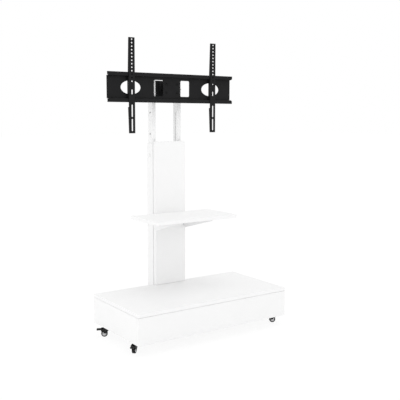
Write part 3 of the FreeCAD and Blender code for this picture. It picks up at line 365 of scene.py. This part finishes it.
def outline(points, at):
    """A flat outline whose vertices are set one by one, from a circle with as many vertices."""
    shape = begin(bpy.ops.mesh.primitive_circle_add, vertices=len(points), radius=1, fill_type="NGON")
    for vertex, point in zip(shape.data.vertices, points):
        vertex.co = at(*point)
    return shape


def arc(centre, radii, start, end, steps):
    """Points of an elliptical arc, with its angles in degrees from the first axis towards the second."""
    points = []
    for i in range(steps + 1):
        angle = math.radians(start + (end - start) * i / steps)
        points.append((centre[0] + radii[0] * math.cos(angle), centre[1] + radii[1] * math.sin(angle)))
    return points


def lathe(profile, steps, closed=False):
    """A profile of radius and height spun round the Z axis. An open profile starts and ends on the axis."""
    shape = outline(profile, lambda radius, height: (radius, 0, height))
    edit(shape)
    bpy.ops.mesh.delete(type="ONLY_FACE")
    bpy.ops.mesh.select_all(action="SELECT")
    bpy.ops.mesh.spin(steps=steps, angle=2 * math.pi, center=(0, 0, 0), axis=(0, 0, 1))
    bpy.ops.mesh.select_all(action="SELECT")
    bpy.ops.mesh.remove_doubles(threshold=MERGE)
    if not closed:
        bpy.ops.mesh.dissolve_degenerate(threshold=MERGE)
        bpy.ops.mesh.delete_loose(use_verts=True, use_edges=True, use_faces=False)
    bpy.ops.mesh.select_all(action="SELECT")
    bpy.ops.mesh.normals_make_consistent(inside=False)
    leave()
    return shape


def slab(points, low, high):
    """A plate with its outline in X and Z and its thickness along Y."""
    shape = outline(points, lambda x, z: (x, low, z))
    edit(shape)
    bpy.ops.mesh.extrude_region_move(TRANSFORM_OT_translate={"value": (0, high - low, 0)})
    bpy.ops.mesh.select_all(action="SELECT")
    bpy.ops.mesh.normals_make_consistent(inside=False)
    leave()
    return shape


def rod_across(radius, x, z, half):
    """A round bar along Y, centred on the middle plane."""
    return begin(bpy.ops.mesh.primitive_cylinder_add, vertices=32, radius=radius, depth=2 * half,
                 location=(x, 0, z), rotation=(math.pi / 2, 0, 0))


def mend(piece):
    """Merge what a cut has left in one place and drop faces without area."""
    edit(piece)
    bpy.ops.mesh.remove_doubles(threshold=MEND)
    bpy.ops.mesh.dissolve_degenerate(threshold=MEND)
    bpy.ops.mesh.delete_loose(use_verts=True, use_edges=True, use_faces=False)
    leave()
    return piece


def combine(piece, tools, operation):
    """Join, cut or intersect a piece with others, which are used up."""
    for tool in tools:
        only(piece)
        modifier = piece.modifiers.new("shape", "BOOLEAN")
        modifier.operation = operation
        modifier.solver = "EXACT"
        modifier.object = tool
        bpy.ops.object.modifier_apply(modifier=modifier.name)
        bpy.data.objects.remove(tool)
    return mend(piece)


def smooth(piece, angle=SMOOTH_ANGLE):
    """Shade a piece smooth except across edges that are sharper than the angle."""
    only(piece)
    bpy.ops.object.shade_smooth_by_angle(angle=angle)
    return piece


def soften(piece, width, angle=SMOOTH_ANGLE):
    """Round the edges of a piece that are sharper than the angle, and shade it smooth."""
    only(piece)
    modifier = piece.modifiers.new("soft_edges", "BEVEL")
    modifier.width = width
    modifier.segments = SOFT_SEGMENTS
    modifier.limit_method = "ANGLE"
    modifier.angle_limit = angle
    bpy.ops.object.modifier_apply(modifier=modifier.name)
    return smooth(piece)


def copied(template, matrix):
    """A copy of a template with a mesh of its own, set in place in metres."""
    piece = template.copy()
    piece.data = template.data.copy()
    bpy.context.collection.objects.link(piece)
    piece.data.transform(matrix @ TO_METRES)
    return piece


def stand_in(piece, name, node):
    """Name a finished piece, finish it and let it stand for a node of the frame."""
    piece.name = name
    piece.data.name = name
    slot = NODE_SLOT[node]
    dress(piece, FINISHES[slot])
    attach(piece, NODE_BODY[node])
    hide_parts(node)


# Casters, drawn with the swivel axis at the origin and the wheel trailing along +X

TYRE_STEPS = 72
WHEEL_STEPS = 60
RACE_STEPS = 64
TYRE_FIT = 0.05
AXLE_PROUD = 1.0
AXLE_RADIUS = 2.5
HINGE_PIN_RADIUS = 1.5
HOLE_FIT = 0.05


def caster_matrix(corner):
    """Place and heading of a caster, from its swivel and its axle."""
    swivel = Vector(JOINTS[corner + "_swivel"]["pos_m"])
    axle = Vector(JOINTS[corner + "_roll"]["pos_m"])
    heading = math.atan2(axle.y - swivel.y, axle.x - swivel.x)
    return Matrix.Translation((swivel.x, swivel.y, 0)) @ Matrix.Rotation(heading, 4, "Z")


def caster_point(joint):
    """A caster joint's distance from the swivel axis and its height, in millimetres."""
    corner = CORNERS[0]
    swivel = Vector(JOINTS[corner + "_swivel"]["pos_m"])
    point = Vector(JOINTS[corner + joint]["pos_m"])
    return (point - swivel).xy.length / MM, point.z / MM


def on_axle():
    """Turn a lathed shape from the Z axis to the wheel's axle."""
    trail, height = caster_point("_roll")
    return Matrix.Translation((trail, 0, height)) @ Matrix.Rotation(math.pi / 2, 4, "X")


def at_corners(template, ending, name):
    """Copy a caster piece to the four corners and delete the template."""
    for corner in CORNERS:
        stand_in(copied(template, caster_matrix(corner)), corner + name, corner + ending)
    bpy.data.objects.remove(template)


class STAND_OT_make_tyres(Operator):
    """Spin the rubber tyres with their shoulders and two grooves in the tread"""
    bl_idname = "stand.make_tyres"
    bl_label = "Make the tyres"

    def execute(self, context):
        caster = context.scene.stand_caster
        radius = caster_point("_roll")[1]
        half = caster.tyre_width / MM / 2
        bore = radius - caster.tyre_depth / MM
        groove = radius - caster.groove_depth / MM
        shoulder, tread = 2.5, 0.62 * half
        groove_outside, groove_inside, groove_wall = 0.36 * half, 0.21 * half, 0.03 * half
        edge = [(bore, half)] + arc((radius - shoulder, tread), (shoulder, half - tread), 90, 0, 4)
        edge += [(radius, groove_outside), (groove, groove_outside - groove_wall),
                 (groove, groove_inside + groove_wall), (radius, groove_inside)]
        profile = [(r, -y) for r, y in edge] + edge[::-1]
        tyre = lathe(profile, TYRE_STEPS, closed=True)
        tyre.data.transform(on_axle())
        smooth(tyre, WHEEL_SMOOTH_ANGLE)
        at_corners(tyre, "_tyre", "_rubber_tyre")
        return {"FINISHED"}


class STAND_OT_make_wheels(Operator):
    """Spin the grey wheels with a dished web, moulded pockets, hub and axle ends"""
    bl_idname = "stand.make_wheels"
    bl_label = "Make the wheels"

    def execute(self, context):
        caster = context.scene.stand_caster
        radius = caster_point("_roll")[1] - caster.tyre_depth / MM - TYRE_FIT
        half = caster.tyre_width / MM / 2
        axle, axle_end = AXLE_RADIUS, (caster.leg_gap + caster.leg_sheet) / MM + AXLE_PROUD
        rim, web, hub = half - 0.5, 5.0, 5.0
        lip, draft, bevel, hub_bevel, axle_bevel = 1.5, 0.1, 0.4, 0.5, 0.6
        web_start, web_end = hub + draft + bevel, radius - lip - bevel
        side = [(radius, rim - bevel), (radius - bevel, rim),
                (radius - lip + bevel, rim), (radius - lip, rim - bevel),
                (radius - lip - draft, web + bevel), (web_end, web),
                (web_start, web), (hub + draft, web + bevel),
                (hub, half - hub_bevel), (hub - hub_bevel, half),
                (axle, half), (axle, axle_end - axle_bevel),
                (axle - axle_bevel, axle_end), (0, axle_end)]
        wheel = lathe(side + [(r, -y) for r, y in reversed(side)], WHEEL_STEPS)
        pocket_wall, pocket_depth, spoke_steps = 0.25, 0.7, 3
        share = WHEEL_STEPS // caster.pocket_count

        def in_pocket(face, way):
            middle = face.calc_center_median()
            turn = math.atan2(middle.y, middle.x) % (2 * math.pi)
            step = int(turn / (2 * math.pi) * WHEEL_STEPS)
            on_web = web_start < middle.xy.length < web_end and abs(middle.z) < web + draft
            return on_web and face.normal.z * way > 0.9 and step % share >= spoke_steps

        edit(wheel)
        for way in (-1, 1):
            pick_faces(wheel, lambda face: in_pocket(face, way))
            bpy.ops.mesh.inset(thickness=pocket_wall, depth=-pocket_depth)
        leave()
        wheel.data.transform(on_axle())
        smooth(wheel, WHEEL_SMOOTH_ANGLE)
        at_corners(wheel, "_wheel_core", "_grey_wheel")
        return {"FINISHED"}


class STAND_OT_make_forks(Operator):
    """Build the stamped forks: two rounded legs, the crown and the ball race"""
    bl_idname = "stand.make_forks"
    bl_label = "Make the forks"

    def execute(self, context):
        caster = context.scene.stand_caster
        trail, wheel_z = caster_point("_roll")
        hinge_x, hinge_z = caster_point("_brake")
        foot, top = caster.crown_foot / MM, caster.crown_top / MM
        inner = caster.leg_gap / MM
        outer = inner + caster.leg_sheet / MM
        crown_end, cheek_end, cheek_foot = hinge_x - 5.6, hinge_x + 6.0, foot - 7.0
        ankle, upper, lower, inside = 3.8, 3.5, 3.0, 2.5
        points = arc((0, foot), (ankle, top - foot), 180, 90, 4)
        points += arc((cheek_end - upper, top - upper), (upper, upper), 90, 0, 4)
        points += arc((cheek_end - lower, cheek_foot + lower), (lower, lower), 0, -90, 4)
        points += arc((trail + ankle + inside, cheek_foot - inside), (inside, inside), 90, 180, 4)
        points += arc((trail, wheel_z), (ankle, ankle), 0, -180, 12)
        sheet_round = 0.45
        fork = soften(slab(points, -outer, outer), sheet_round)
        front, back, past = -30, 60, 5
        wheel_slot = [(front, -past), (back, -past), (back, top + past), (crown_end, top + past),
                      (crown_end, foot), (front, foot)]
        combine(fork, [slab(wheel_slot, -inner, inner)], "DIFFERENCE")
        combine(fork, [self.ball_race(caster, foot, top)], "UNION")
        king_pin_hole, through = 5.05, 20
        king_pin = begin(bpy.ops.mesh.primitive_cylinder_add, vertices=48, radius=king_pin_hole,
                         depth=3 * through, location=(0, 0, foot))
        axle = rod_across(AXLE_RADIUS + HOLE_FIT, trail, wheel_z, through)
        hinge_pin = rod_across(HINGE_PIN_RADIUS + HOLE_FIT, hinge_x, hinge_z, through)
        combine(fork, [king_pin, axle, hinge_pin], "DIFFERENCE")
        at_corners(smooth(fork), "_fork", "_steel_fork")
        return {"FINISHED"}

    def ball_race(self, caster, foot, top):
        """The waisted ring of the ball race, from inside the crown to its top."""
        race, race_top = caster.race_radius / MM, caster.race_top / MM
        core, race_foot = 3.0, foot + 0.3
        cup_top, cap_foot = top + 1.0, race_top - 2.2
        foot_bevel, top_bevel, waist, cap_slope = 0.8, 0.6, 1.2, 1.0
        ring = [(race - foot_bevel, race_foot), (race, race_foot + foot_bevel),
                (race, cup_top), (race - waist, cup_top + waist),
                (race - waist, cap_foot - cap_slope), (race, cap_foot),
                (race, race_top - top_bevel), (race - top_bevel, race_top),
                (core, race_top), (core, race_foot)]
        return lathe(ring, RACE_STEPS, closed=True)


class STAND_OT_make_pedals(Operator):
    """Build the brake pedals with their ribs, hinge barrel, shoe and pin"""
    bl_idname = "stand.make_pedals"
    bl_label = "Make the brake pedals"

    def execute(self, context):
        caster = context.scene.stand_caster
        trail, wheel_z = caster_point("_roll")
        x, z = caster_point("_brake")
        side_gap, edge_round = 0.5, 0.4
        half = caster.leg_gap / MM - side_gap
        reach = caster.pedal_reach / MM
        top = caster.pedal_sheet / MM / 2
        barrel, tip = 3.3, 1.6
        points = arc((0.8, 0), (barrel, 0.98 * top), 192, 90, 5)
        points += [(5.0, 0.9 * top), (10.0, 0.68 * top)]
        points += self.ribs(reach, top)
        points += arc((reach - tip, -0.35 * top), (tip, 0.9 * top), 90, -90, 6)
        points += [(14.0, -1.14 * top), (6.0, -1.04 * top), (3.2, -top), (1.8, -1.2 * top)]
        points += self.shoe(Vector((trail - x, wheel_z - z)), wheel_z)
        pedal = soften(slab([(x + a, z + b) for a, b in points], -half, half), edge_round)
        pin_half = (caster.leg_gap + caster.leg_sheet) / MM
        combine(pedal, [rod_across(HINGE_PIN_RADIUS, x, z, pin_half)], "UNION")
        at_corners(smooth(pedal), "_brake_pedal", "_ribbed_pedal")
        return {"FINISHED"}

    def ribs(self, reach, top):
        """Outline of the ribs across the sloping back of the lever, measured from the hinge."""
        count, pitch, first, height = 4, 2.5, 12.0, 0.6
        back_drop, back_slope = 0.65, 0.046
        points = []
        for i in range(count):
            start = reach - first + pitch * i
            level = top - back_drop - back_slope * start
            points += [(start, level), (start + 0.3, level + height),
                       (start + 1.1, level + height), (start + 1.4, level)]
        return points

    def shoe(self, to_axle, wheel_radius):
        """End of the shoe that points at the axle and stops short of the tread, measured from the hinge."""
        gap, half_width = 1.2, 2.0
        towards = to_axle.normalized()
        end = towards * (to_axle.length - wheel_radius - gap)
        across = Vector((towards.y, -towards.x)) * half_width
        return [tuple(end - across), tuple(end + across)]


# Fasteners, read from the solids of the frame and drawn with their head below the origin and their tip up

SAME = 0.01
HEAD_STEP = 0.05
TURNED_STEPS = 48
SHANK_STEPS = 32
SCREW_STEPS = 40
TIP_BEVEL = 0.8
SHORT_SCREW = 6


def solids_of(node):
    """Vertices of each solid of a node, from a merged copy that is then deleted."""
    copy = NODES[node].copy()
    copy.data = copy.data.copy()
    bpy.context.collection.objects.link(copy)
    edit(copy)
    bpy.ops.mesh.remove_doubles(threshold=MERGE * MM)
    bpy.ops.mesh.separate(type="LOOSE")
    leave()
    pieces = list(bpy.context.selected_objects)
    found = [[vertex.co / MM for vertex in piece.data.vertices] for piece in pieces]
    for piece in pieces:
        bpy.data.objects.remove(piece)
    return found


class Fastener:
    """Seat, direction and sizes of a bolt, screw or nut, measured on its solid."""

    def __init__(self, points):
        low = Vector([min(p[i] for p in points) for i in range(3)])
        high = Vector([max(p[i] for p in points) for i in range(3)])
        size = high - low
        middle = (low + high) / 2

        # A turned part is about as wide as it is high across its axis
        evenness = []
        for i in range(3):
            a, b = size[i - 2], size[i - 1]
            evenness.append(min(a, b) / max(a, b))
        axis = evenness.index(max(evenness))
        self.length = size[axis]

        def reach(point):
            off = point - middle
            off[axis] = 0
            return off.length

        # The head is at the wider end, and a nut is alike at both ends
        ends = [max(reach(p) for p in points if abs(p[axis] - end[axis]) < SAME) for end in (low, high)]
        way = 1 if ends[0] > ends[1] + SAME else -1
        self.direction = Vector([way if i == axis else 0 for i in range(3)])
        head_end = middle - self.direction * self.length / 2
        self.radius = max(ends)
        self.shank = min(ends)
        self.is_nut = abs(ends[0] - ends[1]) < SAME
        if self.is_nut:
            self.bore = min(reach(p) for p in points)
            self.head = self.length
        else:
            wide = [p for p in points if reach(p) > self.shank + HEAD_STEP]
            self.head = max(abs(p[axis] - head_end[axis]) for p in wide)
        self.seat = head_end + self.direction * self.head

    def matrix(self):
        """Place and direction of the fastener, in metres."""
        turn = Vector((0, 0, 1)).rotation_difference(self.direction).to_matrix().to_4x4()
        return Matrix.Translation(self.seat * MM) @ turn


def hexagon_prism(radius, low, high):
    """A hexagonal bar along Z."""
    return begin(bpy.ops.mesh.primitive_cylinder_add, vertices=6, radius=radius, depth=high - low,
                 location=(0, 0, (low + high) / 2), rotation=(0, 0, math.pi / 6))


def chamfered_hexagon(radius, low, high, both):
    """A hexagon whose corners are turned off at the low end, or at both ends."""
    past = 1
    face = 0.95 * radius * math.cos(math.pi / 6)
    wide = 1.03 * radius
    slope = (wide - face) * math.tan(math.radians(30))
    drum = [(0, low), (face, low), (wide, low + slope)]
    if both:
        drum += [(wide, high - slope), (face, high), (0, high)]
        prism = hexagon_prism(radius, low - past, high + past)
    else:
        drum += [(wide, high + past), (0, high + past)]
        prism = hexagon_prism(radius, low - past, high)
    return combine(prism, [lathe(drum, TURNED_STEPS)], "INTERSECT")


def threaded_shank(radius, start, length):
    """A shank from inside its head to a chamfered tip, threaded towards the tip."""
    trim = bpy.context.scene.stand_trim
    pitch, depth = trim.thread_pitch / MM, trim.thread_depth / MM
    plain, longest_thread = 1.0, 16.0
    turns = int(min(length - plain, longest_thread) / pitch)
    level = length - TIP_BEVEL - turns * pitch
    profile = [(0, start), (radius, start)]
    for _ in range(turns):
        profile += [(radius, level), (radius - depth, level + pitch / 2)]
        level += pitch
    profile += [(radius, level), (radius - TIP_BEVEL, length), (0, length)]
    return lathe(profile, SHANK_STEPS)


def hexagon_bolt(part):
    """A bolt with a chamfered hexagon head and a threaded shank."""
    head = chamfered_hexagon(part.radius, -part.head, 0, False)
    return combine(head, [threaded_shank(part.shank, -part.head / 2, part.length - part.head)], "UNION")


def hexagon_nut(part):
    """A nut that is chamfered at both ends, with a flared bore."""
    shape = chamfered_hexagon(part.radius, -part.head, 0, True)
    past, flare, depth = 1, 1.5, 0.5
    bore = [(0, -part.head - past), (part.bore + flare, -part.head - past), (part.bore, -part.head + depth),
            (part.bore, -depth), (part.bore + flare, past), (0, past)]
    return combine(shape, [lathe(bore, TURNED_STEPS)], "DIFFERENCE")


def domed_screw(part):
    """A screw with a domed head and a cross recess. A short one has a blunt tip and a long one a point."""
    head, radius, shank, length = part.head, part.radius, part.shank, part.length - part.head
    rim, blunt, point = 0.12 * head, 0.4, 3.0
    dome = arc((0, -rim), (radius, head - rim), -90, 0, 5) + [(0.97 * radius, 0)]
    if length < SHORT_SCREW:
        tip = [(shank, length - blunt), (shank - blunt, length)]
    else:
        tip = [(shank, max(0.5 * length, length - point)), (0.35 * shank, length)]
    screw = lathe(dome + [(shank, 0)] + tip + [(0, length)], SCREW_STEPS)
    slot_turn, slot_length, slot_width = 0.1, 1.15 * radius, 0.26 * radius
    slots = []
    for turn, depth in ((slot_turn, 1.1 * head), (slot_turn + math.pi / 2, 1.04 * head)):
        slots.append(begin(bpy.ops.mesh.primitive_cube_add, size=1, location=(0, 0, -head),
                           rotation=(0, 0, turn), scale=(slot_length, slot_width, depth)))
    return combine(screw, slots, "DIFFERENCE")


def round_pin(part):
    """The swivel's pin with a turned, chamfered head."""
    head, radius, shank, length = part.head, part.radius, part.shank, part.length - part.head
    head_bevel, seat_bevel = 0.9, 0.3
    profile = [(0, -head), (radius - head_bevel, -head), (radius, -head + head_bevel),
               (radius, -seat_bevel), (radius - seat_bevel, 0), (shank, 0),
               (shank, length - TIP_BEVEL), (shank - TIP_BEVEL, length), (0, length)]
    return lathe(profile, TURNED_STEPS)


def make_fasteners(node, name, make):
    """Draw every fastener of a node and join them to one piece."""
    drawn = {}
    copies = []
    for points in solids_of(node):
        part = Fastener(points)
        maker = hexagon_nut if part.is_nut else make
        key = (maker.__name__, round(part.radius, 2), round(part.length, 2))
        if key not in drawn:
            drawn[key] = maker(part)
        copies.append(copied(drawn[key], part.matrix()))
    for template in drawn.values():
        bpy.data.objects.remove(template)
    only(copies[0])
    for piece in copies:
        piece.select_set(True)
    if len(copies) > 1:
        bpy.ops.object.join()
    stand_in(smooth(copies[0]), name, node)


class STAND_OT_make_bolts(Operator):
    """Draw the hexagon bolts and nuts and the swivel's pin"""
    bl_idname = "stand.make_bolts"
    bl_label = "Make the bolts and nuts"

    def execute(self, context):
        for node in ("post_base_bolts", "height_lock_bolts", "mast_bracket_bolts", "pivot_bracket_bolts"):
            make_fasteners(node, node + "_hexagon", hexagon_bolt)
        make_fasteners("swivel_pin", "swivel_pin_turned", round_pin)
        return {"FINISHED"}


class STAND_OT_make_screws(Operator):
    """Draw the domed screws with their cross recess"""
    bl_idname = "stand.make_screws"
    bl_label = "Make the screws"

    def execute(self, context):
        for node in ("rail_bolts", "cover_screws", "shelf_screws", "drawer_screws", "caster_plate_screws"):
            make_fasteners(node, node + "_domed", domed_screw)
        return {"FINISHED"}


# Trim and finish

class STAND_OT_soften_trim(Operator):
    """Soften the edges of caps, collars and folded brackets"""
    bl_idname = "stand.soften_trim"
    bl_label = "Soften caps and brackets"

    def execute(self, context):
        width = context.scene.stand_trim.edge_round / MM
        for node in ("post_top_caps", "post_guide_bushes", "post_foot_caps", "left_shelf_bracket",
                     "right_shelf_bracket", "cover_brackets", "mast_bracket", "pivot_bracket", "swivel_head"):
            template = NODES[node].copy()
            template.data = template.data.copy()
            template.data.transform(TO_MILLIMETRES)
            context.collection.objects.link(template)
            edit(template)
            bpy.ops.mesh.remove_doubles(threshold=MERGE)
            bpy.ops.mesh.dissolve_limited(angle_limit=FLAT_ANGLE)
            leave()
            soften(template, width, FOLD_ANGLE)
            piece = copied(template, Matrix.Identity(4))
            bpy.data.objects.remove(template)

            # The copy is a piece of its own, so it drops the marks of the node
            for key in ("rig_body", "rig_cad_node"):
                if key in piece:
                    del piece[key]
            stand_in(piece, node + "_softened", node)
        return {"FINISHED"}


class STAND_OT_finish_frame(Operator):
    """Give every piece of the frame the finish of its material slot"""
    bl_idname = "stand.finish_frame"
    bl_label = "Finish the frame"

    def execute(self, context):
        FINISHES.update(slot_materials(context.scene.stand_finish))
        for name, node in NODES.items():
            dress(node, FINISHES[NODE_SLOT[name]])
        return {"FINISHED"}


# Studio, in metres

WHITE = (1, 1, 1, 1)
SENSOR_WIDTH = 36
FLOOR_SIZE = 60
FLOOR_DRIFT = 0.004
FLOOR_PATCH = 0.5
FLOOR_SHADED = (0.11, 0.11, 0.11, 1)
FLOOR_GLOW = 0.905

# Name, place, size and setting of each lamp's power
LAMPS = (("side_lamp", (-3.2, -0.6, 1.0), 2.2, "side_power"),
         ("front_lamp", (0.9, -3.4, 0.7), 1.4, "front_power"),
         ("top_lamp", (0.3, -0.6, 3.6), 2.0, "top_power"))


def area_lamp(name, place, target, size, power):
    """A soft square lamp aimed at a point."""
    bpy.ops.object.select_all(action="DESELECT")
    bpy.ops.object.light_add(type="AREA", location=place)
    lamp = bpy.context.object
    lamp.name = name
    lamp.data.shape = "SQUARE"
    lamp.data.size = size
    lamp.data.energy = power
    lamp.rotation_euler = (target - Vector(place)).to_track_quat("-Z", "Y").to_euler()


def seen_directly(tree):
    """1 for rays from the camera and for those that mirror or pass through to the background."""
    rays = tree.nodes.new("ShaderNodeLightPath")
    total = rays.outputs["Is Camera Ray"]
    for other in ("Is Glossy Ray", "Is Transmission Ray"):
        either = tree.nodes.new("ShaderNodeMath")
        either.operation = "MAXIMUM"
        tree.links.new(total, either.inputs[0])
        tree.links.new(rays.outputs[other], either.inputs[1])
        total = either.outputs["Value"]
    return total


def show_directly(tree, lighting, seen, surface_input):
    """Light the object by one shader and show another to the rays that see it directly."""
    choice = tree.nodes.new("ShaderNodeMixShader")
    tree.links.new(seen_directly(tree), choice.inputs["Fac"])
    tree.links.new(lighting, choice.inputs[1])
    tree.links.new(seen, choice.inputs[2])
    tree.links.new(choice.outputs["Shader"], surface_input)


def white_world(strength):
    """Even studio light with a white background."""
    world = bpy.data.worlds.new("studio_sky")
    world.use_nodes = True
    tree = world.node_tree
    lighting = tree.nodes["Background"]
    lighting.inputs["Color"].default_value = WHITE
    lighting.inputs["Strength"].default_value = strength
    backdrop = tree.nodes.new("ShaderNodeBackground")
    backdrop.inputs["Color"].default_value = WHITE
    show_directly(tree, lighting.outputs["Background"], backdrop.outputs["Background"],
                  tree.nodes["World Output"].inputs["Surface"])
    return world


def floor_material(colour):
    """A pale floor that shows white to the camera and keeps a light shadow."""
    material, tree, shader = new_material("pale_floor")
    shader.inputs["Roughness"].default_value = 1.0
    shader.inputs["Specular IOR Level"].default_value = 0.0
    vary_colour(tree, shader, colour, FLOOR_DRIFT, FLOOR_PATCH)
    shaded = tree.nodes.new("ShaderNodeBsdfDiffuse")
    shaded.inputs["Color"].default_value = FLOOR_SHADED
    glow = tree.nodes.new("ShaderNodeEmission")
    glow.inputs["Strength"].default_value = FLOOR_GLOW
    seen = tree.nodes.new("ShaderNodeAddShader")
    tree.links.new(shaded.outputs["BSDF"], seen.inputs[0])
    tree.links.new(glow.outputs["Emission"], seen.inputs[1])
    show_directly(tree, shader.outputs["BSDF"], seen.outputs["Shader"],
                  tree.nodes["Material Output"].inputs["Surface"])
    return material


class STAND_OT_set_studio(Operator):
    """Lay the floor, hang the lamps and place the camera"""
    bl_idname = "stand.set_studio"
    bl_label = "Set the studio"

    def execute(self, context):
        studio = context.scene.stand_studio
        floor = begin(bpy.ops.mesh.primitive_plane_add, size=FLOOR_SIZE)
        floor.name = "studio_floor"
        dress(floor, floor_material(studio.floor_colour))
        context.scene.world = white_world(studio.sky_strength)
        aim = (Vector(CAD_BOX[0]) + Vector(CAD_BOX[1])) / 2
        for name, place, size, power in LAMPS:
            area_lamp(name, place, aim, size, getattr(studio, power))
        bpy.ops.object.select_all(action="DESELECT")
        heading = Matrix.Rotation(studio.camera_heading, 3, "Z")
        dip = Matrix.Rotation(math.pi / 2 - studio.camera_dip, 3, "X")
        roll = Matrix.Rotation(studio.camera_roll, 3, "Z")
        turn = heading @ dip @ roll
        bpy.ops.object.camera_add(location=studio.camera_place, rotation=turn.to_euler())
        camera = context.object
        camera.name = "photo_camera"
        camera.data.lens = studio.lens
        camera.data.sensor_width = SENSOR_WIDTH
        context.scene.camera = camera
        context.scene.view_settings.view_transform = "Standard"
        return {"FINISHED"}


# Sidebar and registration

OPERATORS = (STAND_OT_finish_frame, STAND_OT_make_tyres, STAND_OT_make_wheels, STAND_OT_make_forks,
             STAND_OT_make_pedals, STAND_OT_make_bolts, STAND_OT_make_screws, STAND_OT_soften_trim,
             STAND_OT_set_studio)
SETTINGS = {"stand_finish": StandFinish, "stand_caster": StandCaster, "stand_trim": StandTrim,
            "stand_studio": StandStudio}


class STAND_PT_sidebar(Panel):
    """The stand's finishes, pieces and studio"""
    bl_idname = "STAND_PT_sidebar"
    bl_label = "Rolling screen stand"
    bl_space_type = "VIEW_3D"
    bl_region_type = "UI"
    bl_category = "Stand"

    def draw(self, context):
        for group_name in SETTINGS:
            group = getattr(context.scene, group_name)
            for setting in group.bl_rna.properties.keys():
                if setting not in ("rna_type", "name"):
                    self.layout.prop(group, setting)
        for operator in OPERATORS:
            self.layout.operator(operator.bl_idname)


CLASSES = tuple(SETTINGS.values()) + OPERATORS + (STAND_PT_sidebar,)


def register():
    """Register the classes and hang the settings on the scene."""
    for cls in CLASSES:
        bpy.utils.register_class(cls)
    for group_name, group in SETTINGS.items():
        setattr(bpy.types.Scene, group_name, PointerProperty(type=group))


def unregister():
    """Take the settings off the scene and unregister the classes."""
    for group_name in SETTINGS:
        delattr(bpy.types.Scene, group_name)
    for cls in reversed(CLASSES):
        bpy.utils.unregister_class(cls)


def main():
    """Build the whole scene."""
    register()
    bpy.ops.stand.finish_frame()
    bpy.ops.stand.make_tyres()
    bpy.ops.stand.make_wheels()
    bpy.ops.stand.make_forks()
    bpy.ops.stand.make_pedals()
    bpy.ops.stand.make_bolts()
    bpy.ops.stand.make_screws()
    bpy.ops.stand.soften_trim()
    bpy.ops.stand.set_studio()


if __name__ == "__main__":
    main()
